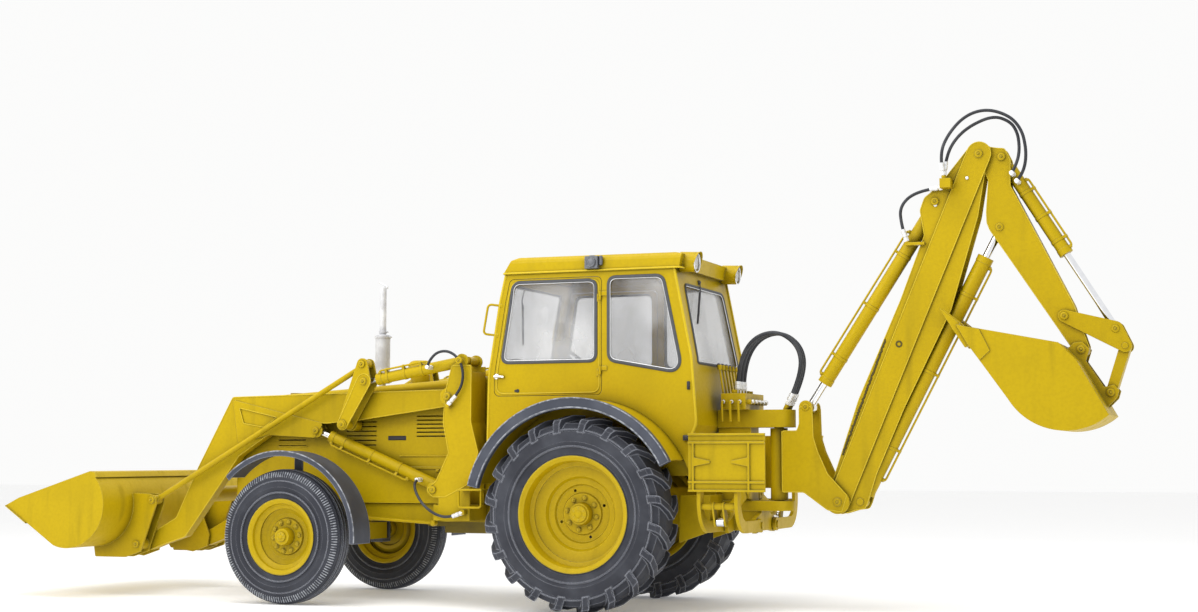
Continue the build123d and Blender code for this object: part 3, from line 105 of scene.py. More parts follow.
# The world lights the machine a little; the camera, metal and glass see a pale backdrop there
world = bpy.data.worlds.new("studio")
world.use_nodes = True
bpy.context.scene.world = world
sky = world.node_tree.nodes
links = world.node_tree.links
sky["Background"].inputs["Color"].default_value = (1, 1, 1, 1)
sky["Background"].inputs["Strength"].default_value = 0.80
backdrop = sky.new("ShaderNodeBackground")
backdrop.inputs["Color"].default_value = (0.97, 0.97, 0.965, 1)
rays = sky.new("ShaderNodeLightPath")
seen = rays.outputs["Is Camera Ray"]
for ray in ("Is Transmission Ray", "Is Glossy Ray"):
    either = sky.new("ShaderNodeMath")
    either.operation = "MAXIMUM"
    links.new(seen, either.inputs[0])
    links.new(rays.outputs[ray], either.inputs[1])
    seen = either.outputs[0]
choose = sky.new("ShaderNodeMixShader")
links.new(seen, choose.inputs[0])
links.new(sky["Background"].outputs[0], choose.inputs[1])
links.new(backdrop.outputs[0], choose.inputs[2])
links.new(choose.outputs[0], sky["World Output"].inputs["Surface"])


class Wire:
    """A shader socket that can stand in a sum or a product."""

    def __init__(self, finish, socket):
        self.finish = finish
        self.socket = socket

    def sum(self, operation, first, second):
        return self.finish.make("Math", {"operation": operation}, {0: first, 1: second})

    def __add__(self, other):
        return self.sum("ADD", self, other)

    def __rsub__(self, other):
        return self.sum("SUBTRACT", other, self)

    def __mul__(self, other):
        return self.sum("MULTIPLY", self, other)

    __radd__ = __add__
    __rmul__ = __mul__

    def between(self, low, high):
        """0 up to low, 1 from high on."""
        return self.finish.make("MapRange", {"interpolation_type": "SMOOTHSTEP"},
                                {"Value": self, "From Min": low, "From Max": high})


class Finish:
    """A material with one surface shader, the nodes that vary over it, and the slot that it fills."""

    def __init__(self, name, slot=None, **constants):
        self.slot = slot
        self.material = bpy.data.materials.new(name)
        self.material.use_nodes = True
        self.tree = self.material.node_tree
        self.shader = self.tree.nodes["Principled BSDF"]
        self.surface(**constants)

    def make(self, kind, settings, sockets, out=0):
        """Any node: its kind, its settings, the values or wires of its sockets."""
        node = self.tree.nodes.new("ShaderNode" + kind)
        for name, value in settings.items():
            setattr(node, name, value)
        for name, value in sockets.items():
            self.feed(node.inputs[name], value)
        return Wire(self, node.outputs[out])

    def feed(self, socket, value):
        if isinstance(value, Wire):
            self.tree.links.new(value.socket, socket)
        else:
            socket.default_value = value

    def surface(self, **sockets):
        """Feeds the surface shader: a wire or a constant for each named socket."""
        for name, value in sockets.items():
            self.feed(self.shader.inputs[name.replace("_", " ")], value)

    def place(self):
        return self.make("TexCoord", {}, {}, out="Object")

    def noise(self, scale, detail=3.0, stretch=(1, 1, 1)):
        at = self.make("VectorMath", {"operation": "MULTIPLY"}, {0: self.place(), 1: stretch})
        return self.make("TexNoise", {}, {"Vector": at, "Scale": scale, "Detail": detail})

    def height(self):
        return self.make("SeparateXYZ", {}, {"Vector": self.place()}, out=2)

    def blend(self, share, first, second):
        return self.make("Mix", {"data_type": "RGBA"}, {0: share, 6: first, 7: second}, out=2)

    def rounded(self, radius):
        return self.make("Bevel", {"samples": 4}, {"Radius": radius})

    def edges(self, radius):
        """1 along the corners of the form, 0 on its flats."""
        facing = self.make("NewGeometry", {}, {}, out="Normal")
        alike = self.make("VectorMath", {"operation": "DOT_PRODUCT"}, {0: self.rounded(radius), 1: facing},
                          out=1)
        return (1 - alike).between(0.015, 0.16)

    def relief(self, strength, depth, wave, radius):
        """A fine uneven surface, with the corners rounded to the radius."""
        self.surface(Normal=self.make("Bump", {}, {"Strength": strength, "Distance": depth, "Height": wave,
                                                   "Normal": self.rounded(radius)}))

    def coat(self, share, first, second, roughness, bump, radius):
        """Two colours mixed by a share, with a roughness; bump is (strength, depth, wave)."""
        self.surface(Base_Color=self.blend(share, first, second), Roughness=roughness)
        self.relief(*bump, radius)


floor_finish = Finish("floor_paper", Roughness=0.9, Specular_IOR_Level=0.1, Emission_Color=(1, 1, 1, 1),
                      Emission_Strength=0.16)
floor_finish.surface(Base_Color=floor_finish.blend(floor_finish.noise(0.6), (0.93, 0.93, 0.925, 1),
                                                   (0.96, 0.96, 0.955, 1)))
floor_half = 45
floor_form = bmesh.new()
bmesh.ops.create_grid(floor_form, x_segments=8, y_segments=8, size=floor_half)
floor_mesh = bpy.data.meshes.new("floor")
floor_form.to_mesh(floor_mesh)
floor_form.free()
floor_mesh.materials.append(floor_finish.material)
floor = bpy.data.objects.new("floor", floor_mesh)
bpy.context.scene.collection.objects.link(floor)

# ---- Hydraulic hoses ------------------------------------------------------------------------------
# Black wire-braided rubber hoses: three loops from the valves over to the swing post, two
# over the elbow of the digging arm with a feed on the boom's front, and two on each side
# of the loader. Each ends in a crimped steel ferrule.
both = ("left", "right")
rubber = Finish("hose_rubber", slot="rubber", Specular_IOR_Level=0.4)
weave = rubber.noise(260.0, 2.0)
dust = rubber.noise(7.0).between(0.45, 0.8)
rubber.coat(dust * 0.5, (0.022, 0.024, 0.03, 1), (0.10, 0.105, 0.115, 1), weave * 0.25 + 0.34,
            (0.3, 0.0006, weave), 0.001)
bright_steel = Finish("bright_steel", slot="chrome_rod", Metallic=0.45)
bright_steel.coat(bright_steel.noise(30.0), (0.72, 0.73, 0.75, 1), (0.92, 0.93, 0.94, 1),
                  bright_steel.noise(90.0) * 0.25 + 0.2, (0.15, 0.0004, bright_steel.noise(160.0)), 0.0008)


@contextmanager
def piece(name, body, finish, slot=None, bevel=0.0, smooth=38):
    """A mesh piece, made in the block and then fixed to its body."""
    form = bmesh.new()
    yield form
    bmesh.ops.recalc_face_normals(form, faces=form.faces)
    mesh = bpy.data.meshes.new(name)
    form.to_mesh(mesh)
    form.free()
    for face in mesh.polygons:
        face.use_smooth = True
    mesh.set_sharp_from_angle(angle=math.radians(smooth))
    mesh.materials.append(finish.material)
    made = bpy.data.objects.new(name, mesh)
    bpy.context.scene.collection.objects.link(made)
    if bevel:
        rounding = made.modifiers.new("rounding", "BEVEL")
        rounding.width = bevel
        rounding.segments = 2
        rounding.limit_method = "ANGLE"
        rounding.harden_normals = True
    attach(made, body)


def cover(form, rings, ends="flat"):
    """Faces from each ring of corners to the next; the ends are flat faces, joined, or left open."""
    for low, high in zip(rings, rings[1:] + rings[:1] if ends == "joined" else rings[1:]):
        for k in range(len(low)):
            form.faces.new((low[k], low[k - 1], high[k - 1], high[k]))
    if ends == "flat":
        form.faces.new(rings[0])
        form.faces.new(rings[-1][::-1])


def turned(form, profile, centre, axis, sides=24, ends="flat"):
    """A turned form: profile is (along the axis, radius), and its ends are as in cover."""
    axis = Vector(axis).normalized()
    across = axis.orthogonal().normalized()
    up = axis.cross(across)
    angles = [2 * math.pi * k / sides for k in range(sides)]
    spokes = [across * math.cos(a) + up * math.sin(a) for a in angles]
    cover(form, [[form.verts.new(Vector(centre) + axis * along + spoke * radius) for spoke in spokes]
                 for along, radius in profile], ends)


def crimp(form, end, inward, r):
    """The ferrule on the end of a hose of radius r: two crimped rings, a waist and a nut."""
    turned(form, [(-0.062, r * 1.15), (-0.060, r * 1.50), (-0.040, r * 1.55), (-0.038, r * 1.35),
                  (-0.032, r * 1.35), (-0.030, r * 1.62), (-0.008, r * 1.62), (-0.005, r * 1.25),
                  (0.004, r * 1.25)], end, inward)
    turned(form, [(0.001, r * 1.5), (0.004, r * 1.75), (0.026, r * 1.75), (0.029, r * 1.5)], end, inward,
           sides=6)


def hose(name, body, node, radius, points):
    """A hose along its route, with a ferrule on each end."""
    route = [spot(*point) for point in points]
    line = bpy.data.curves.new(name, "CURVE")
    line.dimensions = "3D"
    spline = line.splines.new("NURBS")
    spline.points.add(len(route) - 1)
    for knot, place in zip(spline.points, route):
        knot.co = (*place, 1)
    spline.order_u = 3
    spline.use_endpoint_u = True
    line.resolution_u = 10
    line.bevel_depth = radius
    line.bevel_resolution = 5
    line.use_fill_caps = True
    line.materials.append(rubber.material)
    made = bpy.data.objects.new(name, line)
    bpy.context.scene.collection.objects.link(made)
    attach(made, body)
    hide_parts(node)
    with piece(name + "_ferrules", body, bright_steel, smooth=30) as form:
        crimp(form, route[0], route[0] - route[1], radius)
        crimp(form, route[-1], route[-1] - route[-2], radius)


loop_r, arm_hose_r, loader_hose_r = 0.014, 0.011, 0.010
for number, (start, end) in enumerate(((-0.038, -0.05), (0.038, 0.0), (0.114, 0.05))):
    hose(f"loop_hose_{number}", "machine", "machine_hoses", loop_r,
         [(-0.950, start, 1.5567), (-0.955, start, 1.740), (-1.060, start, 1.930),
          (-1.240, (start + end) / 2, 1.980), (-1.390, end, 1.860), (-1.400, end, 1.660),
          (-1.3102, end, 1.4754)])
for side, y in zip(both, (1, -1)):
    hose(f"tilt_hose_{side}", "machine", "machine_hoses", loader_hose_r,
         [(x, y * out, z) for x, out, z in
          ((1.2612, 0.5853, 1.7364), (1.2612, 0.640, 1.7364), (1.238, 0.640, 1.790), (1.180, 0.640, 1.845),
           (1.095, 0.640, 1.853), (1.022, 0.640, 1.812), (0.975, 0.640, 1.735), (0.968, 0.640, 1.640),
           (1.000, 0.640, 1.552), (1.0678, 0.640, 1.4802))])
    hose(f"lift_hose_{side}", "machine", "machine_hoses", loader_hose_r,
         [(x, y * out, z) for x, out, z in
          ((1.3971, 0.4703, 0.9124), (1.3971, 0.530, 0.9124), (1.385, 0.590, 0.870), (1.345, 0.625, 0.805),
           (1.280, 0.638, 0.725), (1.185, 0.640, 0.662), (1.080, 0.640, 0.640), (0.9902, 0.640, 0.6719))])
hose("outer_arch_hose", "boom", "boom_hoses", arm_hose_r,
     [(-2.445, 0.165, 3.0382), (-2.426, 0.165, 3.157), (-2.483, 0.165, 3.293), (-2.602, 0.165, 3.418),
      (-2.752, 0.165, 3.456), (-2.907, 0.165, 3.396), (-2.985, 0.165, 3.295), (-3.010, 0.165, 3.176),
      (-3.008, 0.160, 3.080), (-2.985, 0.148, 3.005), (-2.9416, 0.130, 2.9512), (-2.9416, 0.0803, 2.9512)])
hose("inner_arch_hose", "boom", "boom_hoses", arm_hose_r,
     [(-2.452, 0.130, 3.0512), (-2.467, 0.130, 3.155), (-2.531, 0.130, 3.269), (-2.635, 0.130, 3.353),
      (-2.792, 0.130, 3.411), (-2.906, 0.130, 3.362), (-2.952, 0.130, 3.283), (-2.963, 0.130, 3.186),
      (-2.955, 0.130, 3.112), (-2.932, 0.130, 3.052), (-2.9079, 0.130, 3.0068), (-2.9079, 0.0803, 3.0068)])
hose("front_feed_hose", "boom", "boom_hoses", arm_hose_r,
     [(-2.4018, 0.100, 2.936), (-2.249, 0.100, 2.923), (-2.129, 0.100, 2.824), (-2.141, 0.100, 2.684),
      (-2.168, 0.100, 2.5992)])

# ---- Painted sheet and plate ----------------------------------------------------------------------
# Mustard-yellow machine enamel, brushed and sprayed over welded steel: a little uneven in
# tone, darker towards the bottom and in streaks of oil and dust, with painted shade in its
# creases and a painted highlight along its corners, chipped to bare steel where they wear.
MUSTARD = (0.53, 0.37, 0.002, 1)
OLIVE = (0.20, 0.145, 0.006, 1)
EDGE_HIGHLIGHT = (0.78, 0.62, 0.10, 1)
CREVICE_SHADE = (0.07, 0.055, 0.003, 1)
BARE = (0.16, 0.13, 0.08, 1)


def enamel(name, wear, grime, corner=0.006, gloss=0.34, tone=MUSTARD):
    """Enamel over steel: how worn its corners are, how dirty it is and how round its corners."""
    paint = Finish(name, slot="yellow_paint", Specular_IOR_Level=0.16)
    cloud = paint.noise(2.3, 4.0)
    mottle = paint.noise(46.0, 5.0)
    streak = paint.noise(9.0, 4.0, (1, 1, 0.12))
    colour = paint.blend(mottle.between(0.34, 0.78) * 0.30, tone, (tone[0] * 0.74, tone[1] * 0.72, tone[2], 1))
    colour = paint.blend(cloud.between(0.42, 0.7) * 0.35, colour, (tone[0] * 0.8, tone[1] * 0.8, tone[2], 1))
    # Darker towards the bottom, and in streaks.
    low = (1 - paint.height().between(0.35, 1.5)) * 0.5
    dirt = (streak.between(0.5, 0.82) + low * cloud) * grime
    colour = paint.blend(dirt, colour, OLIVE)
    # Painted shade: creases and corners that the sky can't reach are darkened.
    open_to_sky = paint.make("AmbientOcclusion", {"samples": 6}, {"Distance": 0.14}, out=1)
    colour = paint.blend((1 - open_to_sky).between(0.08, 0.75) * 0.85, colour, CREVICE_SHADE)
    # Painted highlight: the corners of the form are lightened.
    edge = paint.edges(corner)
    colour = paint.blend(edge * 0.55, colour, EDGE_HIGHLIGHT)
    chips = edge * paint.noise(120.0, 2.0).between(0.62, 0.7) * wear
    colour = paint.blend(chips, colour, BARE)
    paint.surface(Base_Color=colour, Roughness=mottle * 0.22 + dirt * 0.5 + (gloss - 0.08))
    paint.relief(0.22, 0.0012, mottle * 0.6 + cloud, corner)
    return paint


def dress(finish, *nodes):
    """Gives carried-over CAD nodes their finish."""
    for node in nodes:
        for slot in frame["nodes"][node].material_slots:
            slot.material = finish.material


cab_enamel = enamel("cab_enamel", wear=0.15, grime=0.16, gloss=0.30)
hood_enamel = enamel("hood_enamel", wear=0.25, grime=0.2, gloss=0.32)
plate_enamel = enamel("plate_enamel", wear=0.5, grime=0.38, gloss=0.38)
arm_enamel = enamel("arm_enamel", wear=0.6, grime=0.3, gloss=0.36)
dress(cab_enamel, "cab_body", "cab_roof", "door_left", "door_right", "rear_fenders")
dress(hood_enamel, "hood")
dress(plate_enamel, "chassis_frame", "front_axle", "loader_frame", "backhoe_frame", "swing_post",
      "valve_block")
dress(arm_enamel, "loader_arms", "tilt_levers", "push_rods", "boom", "dipper", "rocker", "link",
      "lift_barrels", "tilt_barrels", "boom_barrel", "dipper_barrel", "hoe_barrel")
for side in both:
    dress(plate_enamel, f"stabiliser_{side}", f"stab_barrel_{side}")

# ---- Wheels ---------------------------------------------------------------------------------------
# Pressed steel rims in the machine's yellow on cast hubs with studs and nuts. Rear tyres
# carry slanting lugs, front ones three ribs; both are blue-grey, dusty rubber with a painted
# highlight along their edges, moulded rings on the wall and fine ticks round the front
# shoulders, the ticks painted pale as a highlight.
tyre_rubber = Finish("tyre_rubber", slot="tyre", Specular_IOR_Level=0.3)
grain = tyre_rubber.noise(60.0, 4.0)
scuff = tyre_rubber.noise(5.0, 4.0)
flat_colour = tyre_rubber.blend(scuff.between(0.35, 0.75), (0.026, 0.028, 0.038, 1), (0.050, 0.054, 0.068, 1))
# Painted highlight: the corners of the lugs and ribs are painted pale.
tyre_rubber.coat(tyre_rubber.edges(0.015) * 0.7, flat_colour, (0.42, 0.44, 0.50, 1), grain * 0.2 + 0.55,
                 (0.35, 0.002, grain + scuff * 0.5), 0.006)
# Painted highlight: pale rubber for the lips and the shoulder ticks.
pale_highlight_rubber = Finish("highlight_rubber_edge", slot="rubber", Specular_IOR_Level=0.3)
pale_highlight_rubber.coat(pale_highlight_rubber.noise(40.0).between(0.35, 0.65), (0.13, 0.14, 0.165, 1), (0.38, 0.40, 0.44, 1),
                 pale_highlight_rubber.noise(60.0) * 0.2 + 0.5, (0.3, 0.001, pale_highlight_rubber.noise(90.0)), 0.002)
rim_enamel = enamel("rim_enamel", wear=0.3, grime=0.3, corner=0.008, gloss=0.32)


def nut(form, centre, axis, size):
    """A hexagon nut on a washer, with the end of its stud."""
    turned(form, [(0, size * 0.95), (size * 0.12, size * 0.95), (size * 0.14, size * 0.9)], centre, axis,
           sides=20)
    turned(form, [(size * 0.12, size * 0.78), (size * 0.62, size * 0.78), (size * 0.72, size * 0.66)],
           centre, axis, sides=6)
    turned(form, [(size * 0.6, size * 0.34), (size * 1.0, size * 0.34), (size * 1.08, size * 0.24)],
           centre, axis, sides=14)


def ring_of(number, centre, axis, radius, start=0.0):
    """Places spread evenly on a circle about an axis."""
    axis = Vector(axis).normalized()
    up = Vector((0, 0, 1))
    ahead = up.cross(axis)
    for k in range(number):
        turn = start + 2 * math.pi * k / number
        yield Vector(centre) + (up * math.cos(turn) + ahead * math.sin(turn)) * radius


# Outward distances are from the wheel's middle; a moulding is (its radius, half its width)
wheels = {"rear": dict(nuts=8, nut_circle=0.112, nut_seat=-0.024, nut_size=0.020, cap_out=0.034,
                       cap_r=0.060, wall_in=0.008, mouldings=((0.47, 0.004), (0.50, 0.003), (0.585, 0.003)),
                       ticks=0),
          "front": dict(nuts=10, nut_circle=0.108, nut_seat=0.004, nut_size=0.0205, cap_out=0.074,
                        cap_r=0.036, wall_in=0.004, mouldings=((0.325, 0.003), (0.37, 0.0025), (0.41, 0.003)),
                        ticks=150)}
tick_half_w, tick_half_h = 0.0035, 0.004
for side, y in zip(both, (1, -1)):
    dress(tyre_rubber, f"rear_tyre_{side}", f"front_tyre_{side}")
    dress(rim_enamel, f"rear_rim_{side}", f"front_rim_{side}")
    out = Vector((0, y, 0))
    for kind, wheel in wheels.items():
        low, high = (Vector(corner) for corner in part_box(f"{kind}_tyre_{side}"))
        centre = (low + high) / 2
        half_w, tyre_r = (high.y - low.y) / 2, (high.z - low.z) / 2
        body = f"{kind}_wheel_{side}"
        with piece(f"{kind}_wheel_nuts_{side}", body, rim_enamel) as form:
            hub = centre + out * wheel["nut_seat"]
            for place in ring_of(wheel["nuts"], hub, out, wheel["nut_circle"], 0.2):
                nut(form, place, out, wheel["nut_size"])
        with piece(f"{kind}_hub_cap_{side}", body, rim_enamel) as form:
            cap, r = centre + out * wheel["cap_out"], wheel["cap_r"]
            turned(form, [(-0.03, r), (0.004, r), (0.012, r * 0.94), (0.016, r * 0.5), (0.020, r * 0.46),
                          (0.024, r * 0.3)], cap, out, sides=32)
            for place in ring_of(6, cap + out * 0.004, out, r * 0.72):
                turned(form, [(0, 0.006), (0.012, 0.006), (0.014, 0.004)], place, out, sides=6)
        with piece(f"{kind}_tyre_mouldings_{side}", body, tyre_rubber) as form:
            for radius, bead in wheel["mouldings"]:
                for sign in (1, -1):
                    wall = centre + out * sign * (half_w - wheel["wall_in"])
                    turned(form, [(-0.004, radius - 3 * bead), (bead, radius - bead), (bead, radius + bead),
                                  (-0.004, radius + 3 * bead)], wall, out * sign, sides=96, ends="open")
        if not wheel["ticks"]:
            continue
        with piece(f"{kind}_tyre_ticks_{side}", body, pale_highlight_rubber, slot="tyre") as form:
            for k in range(wheel["ticks"]):
                turn = 2 * math.pi * k / wheel["ticks"]
                spoke = Vector((math.sin(turn), 0, math.cos(turn)))
                across = Vector((math.cos(turn), 0, -math.sin(turn))) * tick_half_w
                for sign in (1, -1):
                    near = centre + spoke * (tyre_r - 0.056) + out * sign * (half_w - 0.006)
                    far = centre + spoke * (tyre_r - 0.020) + out * sign * (half_w - 0.026)
                    lift = (out * sign + spoke) * (0.7 * tick_half_h)
                    corners = [near - across, near + across, far + across, far - across]
                    base = [form.verts.new(corner - lift) for corner in corners]
                    top = [form.verts.new(corner + lift) for corner in corners]
                    cover(form, [base, top], ends="open")
                    form.faces.new(top)

# ---- Fender edges and front mudguards -------------------------------------------------------------
# The rear fenders end in a moulded rubber flap, and the steered front wheels carry
# mudguards, dark blue-grey like the tyres with a rolled lip; the lips and the corners of
# flap and guard are painted pale as a highlight.
guard_rubber = Finish("guard_rubber", Specular_IOR_Level=0.4)
guard_scuff = guard_rubber.noise(4.0, 4.0)
guard_colour = guard_rubber.blend(guard_scuff.between(0.35, 0.75), (0.040, 0.046, 0.066, 1),
                                  (0.078, 0.086, 0.112, 1))
# Painted highlight: the corners of the flaps and guards are painted pale.
guard_rubber.coat(guard_rubber.edges(0.012) * 0.65, guard_colour, (0.36, 0.38, 0.42, 1),
                  guard_scuff * 0.25 + 0.36, (0.25, 0.0015, guard_rubber.noise(70.0, 3.0)), 0.006)
dress(guard_rubber, "fender_flaps", *(f"knuckle_{side}" for side in both))


def rounded(corners, radius, closed=True, steps=6):
    """The route through the corners, with each of them rounded off."""
    corners = [Vector(corner) for corner in corners]
    route = []
    for k, corner in enumerate(corners):
        if not closed and k in (0, len(corners) - 1):
            route.append(corner)
            continue
        back = corners[k - 1] - corner
        on = corners[(k + 1) % len(corners)] - corner
        start = corner + back.normalized() * min(radius, back.length * 0.46)
        end = corner + on.normalized() * min(radius, on.length * 0.46)
        for step in range(steps + 1):
            share = step / steps
            route.append(start.lerp(corner, share).lerp(corner.lerp(end, share), share))
    return route


def tube(form, route, radius, sides=8, closed=False, bend=0.0, steps=6, facing=None, flat=1.0):
    """A rod along a route, its corners bent to a radius; with facing it is flattened that way."""
    route = rounded(route, bend, closed, steps) if bend else [Vector(place) for place in route]
    lead = Vector(facing) if facing else (route[1] - route[0]).orthogonal()
    turns = [2 * math.pi * (n + 0.5) / sides for n in range(sides)]
    rings = []
    for k, place in enumerate(route):
        back = route[k - 1] if closed or k else place
        on = route[(k + 1) % len(route)] if closed or k + 1 < len(route) else place
        along = (on - back).normalized()
        lead = (lead - along * lead.dot(along)).normalized()
        wide = along.cross(lead)
        rings.append([form.verts.new(place + (lead * (math.cos(a) * flat) + wide * math.sin(a)) * radius)
                      for a in turns])
    cover(form, rings, "joined" if closed else "flat")


# Each lip is a pale tube, a painted highlight along the flap's and guard's edge.
lip_r, lip_steps = 0.0045, 48
for side, y in zip(both, (1, -1)):
    for name, body, middle, r, off, first, last in (
            ("flap_lip", "machine", (0.0, 0.685), 0.738, 0.9555, 15, 152),
            ("flap_rim", "machine", (0.0, 0.685), 0.803, 0.9545, 15, 152),
            ("guard_lip", f"knuckle_{side}", (2.320, 0.495), 0.6285, 0.9350, 45, 183)):
        with piece(f"{name}_{side}", body, pale_highlight_rubber) as form:
            turns = [math.radians(first + (last - first) * k / lip_steps) for k in range(lip_steps + 1)]
            tube(form, [spot(middle[0] + math.cos(a) * r, y * off, middle[1] + math.sin(a) * r)
                        for a in turns], lip_r)

# ---- Castings and engine --------------------------------------------------------------------------
# The gearbox, the rear axle and the engine are rough iron castings under old dark paint,
# yellow where it is dry and nearly black where oil has run.
casting = Finish("iron_casting", Metallic=0.35, Specular_IOR_Level=0.4)
sand = casting.noise(85.0, 5.0)
oil = casting.noise(3.0, 4.0).between(0.4, 0.7)
casting.coat(oil, (0.20, 0.15, 0.02, 1), (0.045, 0.04, 0.025, 1), sand * 0.4 + 0.35,
             (0.5, 0.003, sand), 0.008)
dress(casting, "engine_block", "rear_axle")

# ---- Rams -----------------------------------------------------------------------------------------
# Hard-chromed rods, ground and polished, with a film of oil left on them by the seals.
chrome = Finish("chromed_rod", slot="chrome_rod", Metallic=1.0)
polish = chrome.noise(40.0, 3.0)
chrome.coat(polish, (0.72, 0.73, 0.76, 1), (0.88, 0.89, 0.91, 1), polish * 0.16 + 0.1,
            (0.08, 0.0004, chrome.noise(120.0)), 0.001)
dress(chrome, "lift_rods", "tilt_rods", "boom_rod", "dipper_rod", "hoe_rod",
      *(f"stab_rod_{side}" for side in both))

# ---- Glass and lamps ------------------------------------------------------------------------------
# Toughened panes, grey with dust and with painted reflections of the sky mottled over them;
# lamps have a pressed lens painted pale in fluted bands, a painted reflection of a bright
# bowl behind it.
pane = Finish("window_glass", Specular_IOR_Level=0.8, IOR=1.5)
reflection_mottle = pane.noise(1.7, 4.0, (1, 1, 0.7))
wipe = pane.noise(3.5, 3.0, (0.7, 1, 1.6))
# Painted reflection: the panes are mottled dark and pale grey.
pane.surface(Base_Color=pane.blend(reflection_mottle.between(0.38, 0.62), (0.30, 0.31, 0.335, 1), (0.74, 0.75, 0.77, 1)),
             Alpha=reflection_mottle.between(0.3, 0.7) * 0.22 + wipe * 0.12 + 0.10, Roughness=wipe * 0.12 + 0.04)
pane.relief(0.03, 0.0005, reflection_mottle, 0.001)
dress(pane, "cab_glass", "door_glass_left", "door_glass_right")
lens = Finish("lamp_lens", Specular_IOR_Level=0.9, Metallic=0.25)
# Painted reflection: pale bands stand for the bright bowl seen through the flutes.
flutes = lens.make("TexWave", {"wave_type": "BANDS", "bands_direction": "Y"},
                   {"Vector": lens.place(), "Scale": 26.0})
lens.coat(flutes, (0.62, 0.63, 0.64, 1), (0.93, 0.93, 0.91, 1), flutes * 0.1 + 0.08,
          (0.5, 0.002, flutes), 0.003)
dress(lens, "lamps")

# ---- Exhaust --------------------------------------------------------------------------------------
# Pale aluminised steel: silencer, upright pipe and a weighted rain flap, a little heat-stained.
pale_steel = Finish("exhaust_coating", slot="exhaust_steel", Metallic=0.3, Specular_IOR_Level=0.4)
stain = pale_steel.noise(6.0, 5.0)
pale_steel.coat(stain.between(0.4, 0.75), (0.74, 0.75, 0.77, 1), (0.47, 0.47, 0.49, 1), stain * 0.3 + 0.3,
                (0.3, 0.001, pale_steel.noise(90.0, 4.0)), 0.003)
dress(pale_steel, "exhaust")

# ---- Buckets --------------------------------------------------------------------------------------
# Welded plate under the machine's enamel, scoured by soil: it is dirty, matt and chipped
# along every edge.
bucket_enamel = enamel("bucket_enamel", wear=0.8, grime=0.45, corner=0.008, gloss=0.42)
dress(bucket_enamel, "loader_bucket", "hoe_bucket")

# ---- Cab interior ---------------------------------------------------------------------------------
# The steering wheel on its console, two levers beside the seat, and the seat's stand and pan, all in black
# paint that hands and boots have scuffed.
black_paint = Finish("black_trim_paint", slot="black_trim", Specular_IOR_Level=0.4)
trim_grain = black_paint.noise(120.0, 3.0)
black_paint.coat(black_paint.noise(6.0).between(0.4, 0.8), (0.03, 0.03, 0.035, 1), (0.09, 0.09, 0.10, 1),
                 trim_grain * 0.3 + 0.35, (0.2, 0.0008, trim_grain), 0.003)
dress(black_paint, "cab_interior")

# ---- Window seals ---------------------------------------------------------------------------------
# Extruded rubber glazing strip round every window, half over the sheet and half over the
# glass, with a pale locking strip pressed into its groove.
seal_rubber = Finish("glazing_rubber", slot="rubber", Specular_IOR_Level=0.4)
seal_grain = seal_rubber.noise(90.0, 3.0)
seal_rubber.coat(seal_grain, (0.045, 0.048, 0.055, 1), (0.10, 0.105, 0.115, 1), seal_grain * 0.25 + 0.4,
                 (0.2, 0.0005, seal_grain), 0.002)


def inset(corners, distance):
    """The outline with each of its sides moved inward."""
    centre = sum(corners, Vector()) / len(corners)
    facing = (corners[0] - centre).cross(corners[1] - centre)
    inward = []
    for k, corner in enumerate(corners):
        across = facing.cross(corner - corners[k - 1]).normalized()
        inward.append(across if across.dot(centre - corner) > 0 else -across)
    return [corner + (a + b) * (distance / (1 + a.dot(b)))
            for corner, a, b in zip(corners, inward, inward[1:] + inward[:1])]


door_pane = [(-0.056, 1.757), (-0.056, 2.335), (0.588, 2.335), (0.604, 2.191), (0.676, 1.757)]
quarter_pane = [(-0.150, 1.760), (-0.150, 2.350), (-0.560, 2.350), (-0.690, 1.730), (-0.640, 1.672)]
end_panes = {"front": ((0.7655, 0.500, 1.735), (0.693, 0.477, 2.191), (0.661, 0.470, 2.330)),
             "rear": ((-0.7695, 0.480, 1.735), (-0.7665, 0.478, 1.774), (-0.662, 0.450, 2.300))}
cab_side_y = 0.610
windows = []
for side, y in zip(both, (1, -1)):
    for name, body, shape in (("door", f"door_{side}", door_pane), ("quarter", "machine", quarter_pane)):
        corners = [spot(x, y * (cab_side_y + 0.002), z) for x, z in shape]
        windows.append((f"{name}_{side}", body, corners, (0, y, 0), 0.4))
for name, edge in end_panes.items():
    corners = [spot(x, -w, z) for x, w, z in edge] + [spot(x, w, z) for x, w, z in reversed(edge)]
    windows.append((name, "machine", corners, None, 1.0))
for name, body, corners, facing, flat in windows:
    strip_r = 0.013 if facing else 0.009
    with piece(f"glazing_strip_{name}", body, seal_rubber) as form:
        tube(form, inset(corners, 0.002), strip_r, sides=10, closed=True, bend=0.055, facing=facing, flat=flat)
    with piece(f"locking_strip_{name}", body, bright_steel) as form:
        tube(form, inset(corners, 0.013), 0.0032, sides=6, closed=True, bend=0.048)

# ---- Door fittings --------------------------------------------------------------------------------
# A rolled bead runs round each steel door. It has a plated lever handle on a round
# escutcheon, a lock, and strap hinges screwed on through their leaves.
# Painted highlight: the beads' enamel is a paler yellow than the sheet's.
highlight_enamel = enamel("highlight_enamel", wear=0.5, grime=0.1, gloss=0.3, tone=(0.68, 0.50, 0.015, 1))


def block(form, centre, size, along=(1, 0, 0), up=(0, 0, 1)):
    """A box about its middle: its size is given along, across and up."""
    along, up = Vector(along).normalized(), Vector(up).normalized()
    halves = [arm * (span / 2) for arm, span in zip((along, up.cross(along), up), size)]
    cover(form, [[form.verts.new(Vector(centre) + halves[0] * a + halves[1] * b + halves[2] * c)
                  for a, b in ((-1, -1), (1, -1), (1, 1), (-1, 1))] for c in (-1, 1)])


